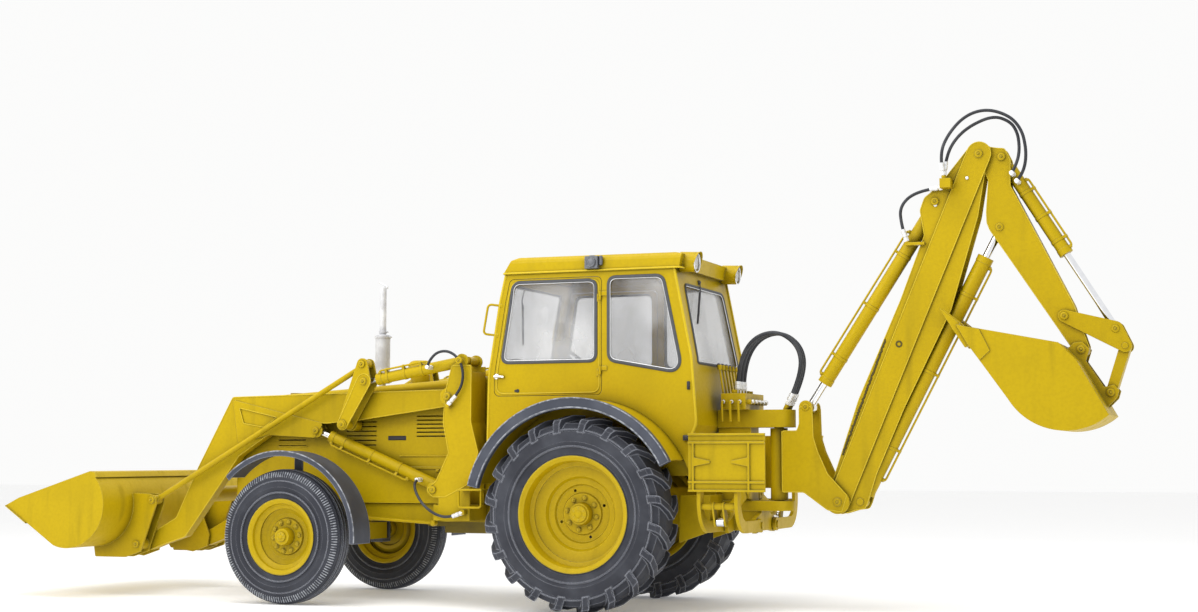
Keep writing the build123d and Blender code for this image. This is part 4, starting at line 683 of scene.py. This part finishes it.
door_shape = [(-0.096, 1.519), (-0.096, 2.356), (0.608, 2.356), (0.644, 2.191), (0.731, 1.664),
              (0.731, 1.519)]
for side, y in zip(both, (1, -1)):
    outward = Vector((0, y, 0))
    door = f"door_{side}"
    with piece(f"door_bead_{side}", door, highlight_enamel) as form:
        outline = [spot(x, y * cab_side_y, z) for x, z in door_shape]
        tube(form, inset(outline, 0.016), 0.0055, closed=True, bend=0.06)
    with piece(f"door_handle_{side}", door, chrome) as form:
        turned(form, [(-0.001, 0.020), (0.004, 0.020), (0.008, 0.016), (0.010, 0.009)],
               spot(0.716, y * cab_side_y, 1.658), outward)
        tube(form, [spot(0.728, y * (cab_side_y + 0.012), 1.658), spot(0.690, y * (cab_side_y + 0.013), 1.659),
                    spot(0.652, y * (cab_side_y + 0.012), 1.654)],
             0.0135, sides=14, bend=0.02, facing=(0, 0, 1), flat=0.72)
    with piece(f"door_lock_{side}", door, black_paint) as form:
        turned(form, [(-0.001, 0.013), (0.003, 0.013), (0.005, 0.010), (0.002, 0.004)],
               spot(0.549, y * cab_side_y, 1.553), outward)
        turned(form, [(-0.001, 0.007), (0.004, 0.007)], spot(0.566, y * cab_side_y, 1.553), outward)
    with piece(f"door_hinge_leaves_{side}", door, cab_enamel, bevel=0.001) as form:
        for z in (1.675, 2.205):
            block(form, spot(-0.0765, y * (cab_side_y + 0.002), z), (0.032, 0.005, 0.056))
            for rise in (-0.016, 0.016):
                turned(form, [(0, 0.005), (0.003, 0.005), (0.0045, 0.003)],
                       spot(-0.073, y * (cab_side_y + 0.004), z + rise), outward, sides=12)

# ---- Cab trim -------------------------------------------------------------------------------------
# Folded corner beads and a drip rail welded to the cab; a tube grab handle on each front
# pillar; screwed-on catches, rubber buffers and swivelling work lamps; wipers on the front
# and the rear window; a hinged hatch in the roof.
dark_steel = Finish("dark_grey_steel", slot="black_trim", Metallic=0.5, Specular_IOR_Level=0.5)
dark_grain = dark_steel.noise(70.0, 4.0)
dark_steel.coat(dark_grain, (0.085, 0.09, 0.105, 1), (0.22, 0.23, 0.25, 1), dark_grain * 0.25 + 0.3,
                (0.2, 0.0008, dark_grain), 0.002)
rear_corner = [(-0.642, 2.395), (-0.765, 1.774), (-0.799, 1.301), (-0.760, 1.232), (-0.760, 1.100)]
front_corner = [(0.645, 2.392), (0.691, 2.191), (0.775, 1.664), (0.783, 1.206), (0.783, 0.960)]
corner_y, drip_z = 0.606, 2.402
for side, y in zip(both, (1, -1)):
    outward = Vector((0, y, 0))
    # The beads are in the paler enamel, a painted highlight.
    with piece(f"cab_beads_{side}", "machine", highlight_enamel) as form:
        for line in (rear_corner, front_corner):
            tube(form, [spot(x, y * corner_y, z) for x, z in line], 0.0105, bend=0.05)
        tube(form, [spot(x, y * off, drip_z) for x, off in ((0.668, 0.560), (0.662, 0.625), (-0.690, 0.625),
                                                            (-0.697, 0.560))], 0.0075, bend=0.03)
    with piece(f"grab_handle_{side}", "machine", cab_enamel) as form:
        tube(form, [spot(0.690, y * 0.600, 2.172), spot(0.768, y * 0.645, 2.182),
                    spot(0.806, y * 0.645, 1.968), spot(0.724, y * 0.600, 1.958)],
             0.0085, sides=12, bend=0.03)
        for x, z in ((0.684, 2.172), (0.718, 1.958)):
            turned(form, [(-0.004, 0.017), (0.005, 0.017), (0.007, 0.013)], spot(x, y * corner_y, z), outward,
                   sides=20)
    with piece(f"cab_catches_{side}", "machine", black_paint, bevel=0.0015) as form:
        block(form, spot(-0.745, y * 0.613, 1.574), (0.020, 0.010, 0.056))
        block(form, spot(-0.745, y * 0.621, 1.562), (0.010, 0.012, 0.018))
        block(form, spot(-0.732, y * 0.622, 1.212), (0.044, 0.026, 0.036))
        turned(form, [(0, 0.014), (0.016, 0.014), (0.020, 0.009)], spot(-0.736, y * 0.632, 1.214), outward)
    with piece(f"work_lamp_{side}", "machine", dark_steel, bevel=0.0015) as form:
        block(form, spot(-0.040, y * 0.648, 2.455), (0.098, 0.040, 0.088))
        block(form, spot(-0.040, y * 0.622, 2.499), (0.036, 0.070, 0.012))
        turned(form, [(0, 0.032), (0.012, 0.036), (0.016, 0.033), (0.013, 0.028), (0.016, 0.020),
                      (0.018, 0.008)], spot(-0.040, y * 0.667, 2.455), outward)
        turned(form, [(-0.034, 0.010), (-0.028, 0.014), (0.028, 0.014), (0.034, 0.010)],
               spot(-0.104, y * 0.640, 2.468), (0, 0, 1))
for name, ahead, foot, head, tip in (
        ("rear", -1, spot(-0.652, 0.10, 2.338), spot(-0.673, 0.150, 2.270), spot(-0.712, 0.310, 2.080)),
        ("front", 1, spot(0.668, 0.18, 2.352), spot(0.700, 0.165, 2.250), spot(0.742, 0.060, 1.985))):
    with piece(f"wiper_{name}", "machine", black_paint) as form:
        turned(form, [(-0.012, 0.016), (0.010, 0.016), (0.016, 0.011), (0.020, 0.006)], foot, (ahead, 0, 0.17))
        off = Vector((ahead * 0.012, 0, 0))
        tube(form, [foot + off, head + off, tip + off], 0.0045)
        middle = head.lerp(tip, 0.72) + off * 0.6
        blade = (tip - head).normalized()
        tube(form, [middle - blade * 0.17, middle + blade * 0.15], 0.008, sides=6, facing=(0, 1, 0), flat=0.45)
with piece("roof_hatch_fittings", "machine", cab_enamel, bevel=0.001) as form:
    hatch_y = 0.264
    tube(form, [spot(-0.374, -hatch_y, 2.512), spot(0.204, -hatch_y, 2.512), spot(0.204, hatch_y, 2.512),
                spot(-0.374, hatch_y, 2.512)], 0.006, closed=True, bend=0.03)
    for y in (-0.16, 0.16):
        block(form, spot(0.206, y, 2.536), (0.050, 0.060, 0.008))
        turned(form, [(-0.032, 0.008), (0.032, 0.008)], spot(0.222, y, 2.538), (0, 1, 0), sides=12)

# ---- Lamp rims ------------------------------------------------------------------------------------
# Plated rims hold the round lenses: two rear work lamps in the roof's corners and two
# headlamps low on the nose. A folded hood shades each rear lamp.
with piece("lamp_rims", "machine", chrome) as form:
    for y in (1, -1):
        turned(form, [(-0.004, 0.059), (-0.004, 0.068), (0.003, 0.070), (0.007, 0.066), (0.005, 0.0605),
                      (-0.002, 0.0585)],
               spot(-0.7695, y * 0.490, 2.4405), (-1, 0, -0.047), sides=40, ends="joined")
        turned(form, [(-0.004, 0.061), (-0.004, 0.069), (0.004, 0.070), (0.009, 0.065), (0.006, 0.059),
                      (-0.002, 0.058)],
               spot(3.105, y * 0.170, 0.770), (1, 0, 0), sides=40, ends="joined")
hood_steps, hood_half_turn = 24, math.radians(100)
for side, y in zip(both, (1, -1)):
    with piece(f"rear_lamp_hood_{side}", "machine", cab_enamel, bevel=0.0015) as form:
        rows = []
        for k in range(hood_steps + 1):
            turn = hood_half_turn * (2 * k / hood_steps - 1)
            reach = 0.034 * math.cos(turn * 0.85) + 0.008
            rows.append([form.verts.new(spot(-0.762 - out, y * 0.490 + math.sin(turn) * r,
                                             2.441 + math.cos(turn) * r))
                         for out, r in ((0.0, 0.073), (reach, 0.077), (reach, 0.0745), (0.0, 0.0705))])
        cover(form, rows)

# ---- Hood fittings --------------------------------------------------------------------------------
# The hood's sides have a pressed bead, a dark pull slot and over-centre catches; two
# strap clamps hold the silencer and one the pipe above it.
hood_side_y = 0.331
for side, y in zip(both, (1, -1)):
    with piece(f"hood_beads_{side}", "machine", hood_enamel) as form:
        tube(form, [spot(1.235, y * hood_side_y, 1.087), spot(1.640, y * hood_side_y, 1.087)], 0.007)
        tube(form, [spot(2.440, y * hood_side_y, 1.160), spot(2.700, y * hood_side_y, 1.160)], 0.005)
        for x in (1.32, 2.20):
            block(form, spot(x, y * (hood_side_y + 0.003), 0.950), (0.030, 0.010, 0.080))
            turned(form, [(0, 0.012), (0.008, 0.012), (0.011, 0.007)],
                   spot(x, y * (hood_side_y + 0.007), 0.975), (0, y, 0), sides=16)
    with piece(f"hood_pull_{side}", "machine", black_paint, bevel=0.002) as form:
        block(form, spot(1.663, y * (hood_side_y + 0.0005), 1.222), (0.150, 0.004, 0.032))
        for z in (1.211, 1.233):
            tube(form, [spot(x, y * (hood_side_y + 0.0025), z) for x in (1.592, 1.734)], 0.003, sides=6)
with piece("exhaust_clamps", "machine", pale_steel) as form:
    for z, r in ((1.668, 0.0605), (2.012, 0.0605), (2.052, 0.0290)):
        turned(form, [(-0.010, r - 0.002), (-0.009, r + 0.0025), (0.009, r + 0.0025), (0.010, r - 0.002)],
               spot(1.970, 0, z), (0, 0, 1), sides=32, ends="joined")
        turned(form, [(-0.016, 0.005), (0.016, 0.005)], spot(1.970 - r - 0.007, 0, z), (0, 1, 0), sides=8)

# ---- Ram pipes ------------------------------------------------------------------------------------
# Each ram's far port is fed by a thin steel pipe along its barrel, bent in at both ends,
# painted with it and held by strap clamps.
pins = {"arm": (1.112, 1.521), "lift_base": (1.226, 0.842), "lift_head": (2.290, 1.280),
        "tilt_base": (1.000, 1.781), "lever": (1.990, 1.322), "lever_mid": (1.814, 1.642),
        "lever_top": (1.828, 1.771), "bucket": (3.800, 0.404), "push": (3.665, 0.747), "boom": (-1.670, 0.768),
        "dipper": (-2.680, 3.160), "boom_ram_head": (-1.447, 1.430), "boom_ram_base": (-2.372, 2.846),
        "dipper_ram_head": (-2.808, 2.650), "hoe_ram_base": (-2.830, 3.135), "hoe": (-3.335, 1.798),
        "rocker": (-3.230, 2.026), "rocker_mid": (-3.560, 1.933), "link": (-3.520, 1.508)}
dipper_ram_base = (-1.820, 0.770)
# Each ram has its pins, its barrel's radius, the reach of its pipe from the base, the side it lies on, the
# ram's place across the machine and how far the pipe leans out
rams = [("boom_ram", "boom_barrel", pins["boom_ram_base"], pins["boom_ram_head"], 0.050, (0.27, 1.44),
         (1, 1), 0.0, 0.35),
        ("dipper_ram", "dipper_barrel", dipper_ram_base, pins["dipper_ram_head"], 0.054, (0.20, 1.84),
         (-1, -1), 0.0, 0.0),
        ("hoe_ram", "hoe_barrel", pins["hoe_ram_base"], pins["rocker_mid"], 0.046, (0.22, 0.77),
         (-1, 1), 0.0, 0.25)]
for side, y in zip(both, (0.410, -0.410)):
    rams.append((f"lift_ram_{side}", "lift_barrels", pins["lift_base"], pins["lift_head"], 0.044, (0.30, 1.00),
                 (1, -1), y, 0.7))
for side, y in zip(both, (0.530, -0.530)):
    rams.append((f"tilt_ram_{side}", "tilt_barrels", pins["tilt_base"], pins["lever_mid"], 0.041, (0.30, 0.70),
                 (0, 1), y, 0.5))
for name, body, base, head, barrel_r, span, away, y, lean in rams:
    foot, end = spot(base[0], y, base[1]), spot(head[0], y, head[1])
    along = (end - foot).normalized()
    rise = Vector((away[0], 0, away[1]))
    rise = (rise - along * rise.dot(along)).normalized()
    rise = (rise + Vector((0, -lean if y < 0 else lean, 0))).normalized()
    near, far = (foot + along * reach for reach in span)
    with piece(f"pipe_{name}", body, arm_enamel) as form:
        skin, out = rise * (barrel_r - 0.004), rise * (barrel_r + 0.022)
        tube(form, [near + skin, near + out, far + out, far + skin], 0.0075, sides=10, bend=0.03)
        for place in (near, far):
            turned(form, [(-0.004, 0.015), (0.012, 0.015), (0.015, 0.011)], place + rise * barrel_r, rise,
                   sides=6)
        for share in (0.14, 0.5, 0.86):
            place = near.lerp(far, share)
            turned(form, [(-0.010, barrel_r - 0.001), (-0.010, barrel_r + 0.003), (0.010, barrel_r + 0.003),
                          (0.010, barrel_r - 0.001)], place, along, sides=32, ends="joined")
            block(form, place + rise * (barrel_r + 0.014), (0.020, 0.026, 0.030), along, rise)

# ---- Pin heads ------------------------------------------------------------------------------------
# Every hinge pin ends in a turned head with a lock nut and a grease nipple in it. Each is
# found by looking in from the side along the pin, past the bucket's cheeks at the loader.
side_start, inner_start = 2.0, 0.62
bpy.context.view_layer.update()
shown = bpy.context.evaluated_depsgraph_get()
heads = {}
for name, (x, z) in pins.items():
    start = inner_start if name in ("bucket", "push") else side_start
    for y in (1, -1):
        hit, place, _, _, found, _ = bpy.context.scene.ray_cast(shown, spot(x, y * start, z), (0, -y, 0))
        if hit:
            owner = [body for body, holder in frame["bodies"].items() if holder == found.parent]
            heads.setdefault(owner[0] if owner else "machine", []).append((place, Vector((0, y, 0))))
for owner, places in heads.items():
    with piece(f"pin_heads_{owner}", owner, arm_enamel) as form:
        for place, out in places:
            turned(form, [(-0.002, 0.026), (0.005, 0.026), (0.008, 0.022), (0.008, 0.013), (0.006, 0.012)],
                   place, out)
            turned(form, [(0.004, 0.008), (0.014, 0.008), (0.016, 0.006)], place, out, sides=6)
            turned(form, [(0.014, 0.004), (0.020, 0.004), (0.023, 0.0025)], place, out, sides=10)

# ---- Dressed plate edges --------------------------------------------------------------------------
# The flame-cut plates of the arms, posts and booms are dressed to a rounded bead along
# their edges, painted a paler yellow as a highlight.
def strap_shape(first, first_r, second, second_r, steps=12):
    """The outline round two discs and the plate between them."""
    run = Vector(second) - Vector(first)
    heading = math.atan2(run.y, run.x)
    lean = math.acos((first_r - second_r) / run.length)
    shape = []
    for middle, r, start, sweep in ((first, first_r, heading + lean, 2 * (math.pi - lean)),
                                    (second, second_r, heading - lean, 2 * lean)):
        for k in range(steps + 1):
            turn = start + sweep * k / steps
            shape.append((middle[0] + r * math.cos(turn), middle[1] + r * math.sin(turn)))
    return shape


boom_shape = [(-1.610, 0.715), (-1.590, 0.800), (-1.818, 1.476), (-2.007, 1.905), (-2.123, 2.166),
              (-2.296, 2.612), (-2.268, 2.790), (-2.300, 2.875), (-2.400, 2.950), (-2.606, 3.200),
              (-2.680, 3.248), (-2.760, 3.200), (-2.724, 3.077), (-2.664, 2.734), (-2.468, 2.086),
              (-2.134, 1.417), (-1.932, 0.956), (-1.870, 0.760), (-1.850, 0.722), (-1.790, 0.715),
              (-1.690, 0.685)]
dipper_shape = [(-2.640, 3.110), (-2.700, 3.060), (-2.740, 2.980), (-2.722, 2.760), (-2.724, 2.683),
                (-2.743, 2.634), (-3.262, 1.830), (-3.300, 1.770), (-3.372, 1.778), (-3.383, 1.815),
                (-3.290, 2.100), (-2.903, 2.895), (-2.884, 2.930), (-2.888, 3.110), (-2.850, 3.190),
                (-2.800, 3.195), (-2.680, 3.220)]
tower_shape = [(-1.275, 1.262), (-1.385, 1.262), (-1.402, 1.310), (-1.402, 1.430), (-1.492, 1.430),
               (-1.498, 1.220), (-1.530, 1.115), (-1.600, 0.960), (-1.735, 0.815), (-1.700, 0.700),
               (-1.600, 0.712), (-1.430, 0.835), (-1.275, 0.835)]
arm_shape = [(1.112, 1.576), (3.032, 1.541), (3.331, 1.005), (3.530, 0.604), (3.838, 0.440), (3.775, 0.352),
             (3.660, 0.395), (3.447, 0.464), (3.240, 0.733), (2.970, 1.089), (2.714, 1.250), (2.560, 1.262),
             (2.370, 1.350), (2.203, 1.335), (1.904, 1.361), (1.227, 1.450), (1.112, 1.466)]
post_shape = [(1.078, 1.745), (1.130, 1.553), (1.146, 1.330), (1.100, 1.110), (1.200, 0.905),
              (1.275, 0.842), (1.226, 0.790), (1.130, 0.790), (0.950, 0.878), (0.865, 1.110),
              (0.925, 1.330), (0.925, 1.745)]
arm_panel = [(2.633, 1.383), (2.969, 1.458), (2.931, 1.338), (2.747, 1.307)]
boom_strap = strap_shape(pins["boom"], 0.076, pins["dipper"], 0.082)
lever_shape = strap_shape(pins["lever"], 0.040, pins["lever_mid"], 0.056)
bead_r, bead_sunk = 0.0045, 0.001
strap_y, web_y, dipper_y = 0.088, 0.074, 0.057
for name, body, shape, off in (("boom_strap", "boom", boom_strap, strap_y),
                               ("boom_web", "boom", boom_shape, web_y),
                               ("dipper", "dipper", dipper_shape, dipper_y),
                               ("tower", "swing_post", tower_shape, 0.123),
                               ("arm", "loader_arms", arm_shape, 0.455),
                               ("arm_panel", "loader_arms", arm_panel, 0.461),
                               ("post", "machine", post_shape, 0.600),
                               ("lever", "tilt_levers", lever_shape, 0.590)):
    for side, y in zip(both, (1, -1)):
        with piece(f"edge_{name}_{side}", body, highlight_enamel) as form:
            tube(form, [spot(x, y * (off - bead_sunk), z) for x, z in shape], bead_r, closed=True, bend=0.012,
                 steps=2)

# ---- Boom welds and bolts -------------------------------------------------------------------------
# The boom's doubling plates are stitched on by hand: a rough, dark, unpainted bead of weld
# runs up the lower part of each side. A hole rimmed with it is left for slinging the boom,
# and small plated bolts stand beside the pins.
weld_steel = Finish("weld_bead", slot="dark_casting", Metallic=0.4)
slag = weld_steel.noise(140.0, 4.0)
weld_steel.coat(slag, (0.035, 0.03, 0.012, 1), (0.16, 0.12, 0.02, 1), slag * 0.3 + 0.5,
                (0.6, 0.002, slag), 0.002)
chance = random.Random(7)
stitches, proud = 120, 0.0005
bolts = {"boom": ((-2.598, strap_y, 2.996), (-2.375, web_y, 2.820)), "dipper": ((-2.819, dipper_y, 2.656),)}
for side, y in zip(both, (1, -1)):
    with piece(f"boom_weld_{side}", "boom", weld_steel) as form:
        low, high = spot(-1.700, y * (web_y + proud), 1.100), spot(-2.010, y * (web_y + proud), 1.890)
        for k in range(stitches):
            at = low.lerp(high, k / (stitches - 1))
            at += Vector((chance.uniform(-0.004, 0.004), 0, chance.uniform(-0.002, 0.002)))
            turned(form, [(-0.002, 0.0085), (0.0015, 0.0075 + chance.uniform(-0.001, 0.001)), (0.0035, 0.004)],
                   at, (chance.uniform(-0.1, 0.1), y, -0.3), sides=8)
        turned(form, [(-0.002, 0.024), (0.003, 0.023), (0.003, 0.014), (-0.002, 0.013)],
               spot(-2.109, y * (strap_y + proud), 1.861), (0, y, 0), sides=24, ends="joined")
    for body, places in bolts.items():
        with piece(f"{body}_bolts_{side}", body, bright_steel) as form:
            for x, off, z in places:
                turned(form, [(-0.003, 0.012), (0.007, 0.012), (0.009, 0.008)], spot(x, y * (off + proud), z),
                       (0, y, 0), sides=6)

# ---- Valve fittings -------------------------------------------------------------------------------
# Plated union nuts stand on the valve bank with yellow-painted elbows at its end, and
# each lever carries a black ball.
spools, elbows, elbow_z = (-0.18, -0.09, 0.0, 0.09, 0.18), (-1.00, -0.94, -0.88), 1.470
with piece("valve_unions", "machine", bright_steel) as form:
    for y in spools:
        union = spot(-1.040, y, 1.472)
        turned(form, [(0, 0.013), (0.012, 0.013), (0.013, 0.010), (0.030, 0.010)], union, (-1, 0, 0), sides=6)
        turned(form, [(0.026, 0.0135), (0.046, 0.0135), (0.048, 0.011)], union, (-1, 0, 0), sides=20)
    for x in elbows:
        turned(form, [(0, 0.014), (0.016, 0.014), (0.018, 0.010)], spot(x, 0.229, elbow_z), (0, 1, 0), sides=6)
with piece("valve_elbows", "machine", plate_enamel) as form:
    for x in elbows:
        tube(form, [spot(x, 0.240, elbow_z), spot(x, 0.272, elbow_z), spot(x - 0.004, 0.276, 1.330)], 0.009,
             sides=12, bend=0.03)
with piece("lever_balls", "machine", black_paint) as form:
    for y in spools:
        turned(form, [(-0.014, 0.006), (-0.010, 0.014), (-0.002, 0.018), (0.006, 0.017), (0.013, 0.011),
                      (0.017, 0.004)], spot(-0.829, y, 1.730), (0, 0, 1), sides=18)

# ---- Steering drag link ---------------------------------------------------------------------------
# A drop arm under the frame moves the steering through a long ground rod with ball ends.
rod_y = 0.362
with piece("drag_link", "machine", plate_enamel) as form:
    balls = [spot(1.335, rod_y, 0.590), spot(2.190, rod_y, 0.640)]
    tube(form, balls, 0.012, sides=14)
    for ball in balls:
        turned(form, [(-0.030, 0.014), (-0.022, 0.022), (0.018, 0.022), (0.026, 0.014)], ball, (0, 1, 0))
    tube(form, [spot(1.335, 0.340, 0.590), spot(1.338, 0.338, 0.700), spot(1.345, 0.290, 0.760)],
         0.020, sides=12, bend=0.05, facing=(0, 1, 0), flat=0.6)

# ---- Driver's cushion -----------------------------------------------------------------------------
# Foam under black vinyl, swollen by a short cloth run, with a piped seam round its edge
# and two sewn channels across the top.
vinyl = Finish("cushion_vinyl", slot="seat_cover", Specular_IOR_Level=0.45)
leather = vinyl.noise(170.0, 4.0)
vinyl.coat(vinyl.noise(8.0).between(0.4, 0.75), (0.025, 0.025, 0.028, 1), (0.075, 0.075, 0.08, 1),
           leather * 0.3 + 0.32, (0.35, 0.0008, leather), 0.001)
low, high = (Vector(corner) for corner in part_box("seat_cushion"))
centre, half = (low + high) / 2, (high - low) / 2
foam_half = (half.x - 0.012, half.y - 0.012, half.z - 0.010)
crown, channels, channel_depth, channel_w = 0.004, (-0.07, 0.07), 0.007, 0.010
soft = bmesh.new()
bmesh.ops.create_cube(soft, size=2)
for corner in soft.verts:
    corner.co = Vector(c * h for c, h in zip(corner.co, foam_half))
bmesh.ops.bevel(soft, geom=soft.edges[:], offset=0.024, segments=3, profile=0.5, affect="EDGES")
cushion_mesh = bpy.data.meshes.new("driver_cushion")
soft.to_mesh(cushion_mesh)
soft.free()
cushion = bpy.data.objects.new("driver_cushion", cushion_mesh)
cushion.location = centre
bpy.context.scene.collection.objects.link(cushion)
remesh = cushion.modifiers.new("remesh", "REMESH")
remesh.mode = "VOXEL"
remesh.voxel_size = 0.006
cloth = cushion.modifiers.new("swell", "CLOTH")
cloth.settings.use_pressure = True
cloth.settings.uniform_pressure_force = 4
cloth.settings.effector_weights.gravity = 0
for step in range(1, 21):
    bpy.context.scene.frame_set(step)
swollen = bpy.data.meshes.new_from_object(cushion.evaluated_get(bpy.context.evaluated_depsgraph_get()))
bpy.context.scene.frame_set(1)
cushion.modifiers.clear()
cushion.data = swollen
for corner in swollen.vertices:
    # The cover stays in the cushion's box but for a slight crown, and is drawn in along the channels
    inside = Vector((max(-half.x, min(half.x, corner.co.x)), max(-half.y, min(half.y, corner.co.y)),
                     max(-half.z, min(half.z + crown, corner.co.z))))
    top = max(0.0, corner.co.z / half.z)
    for channel in channels:
        inside.z -= channel_depth * top * math.exp(-((corner.co.x - channel) / channel_w) ** 2)
    corner.co = inside
for face in swollen.polygons:
    face.use_smooth = True
smooth_skin = cushion.modifiers.new("skin", "SUBSURF")
smooth_skin.levels = smooth_skin.render_levels = 1
swollen.materials.clear()
swollen.materials.append(vinyl.material)
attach(cushion, "machine")
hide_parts("seat_cushion")
with piece("cushion_piping", "machine", vinyl) as form:
    seam_x, seam_y = half.x - 0.004, half.y - 0.004
    for z in (-0.012, 0.020):
        seam = [centre + Vector((x * seam_x, y * seam_y, z)) for x, y in ((-1, -1), (1, -1), (1, 1), (-1, 1))]
        tube(form, seam, 0.0045, closed=True, bend=0.04)
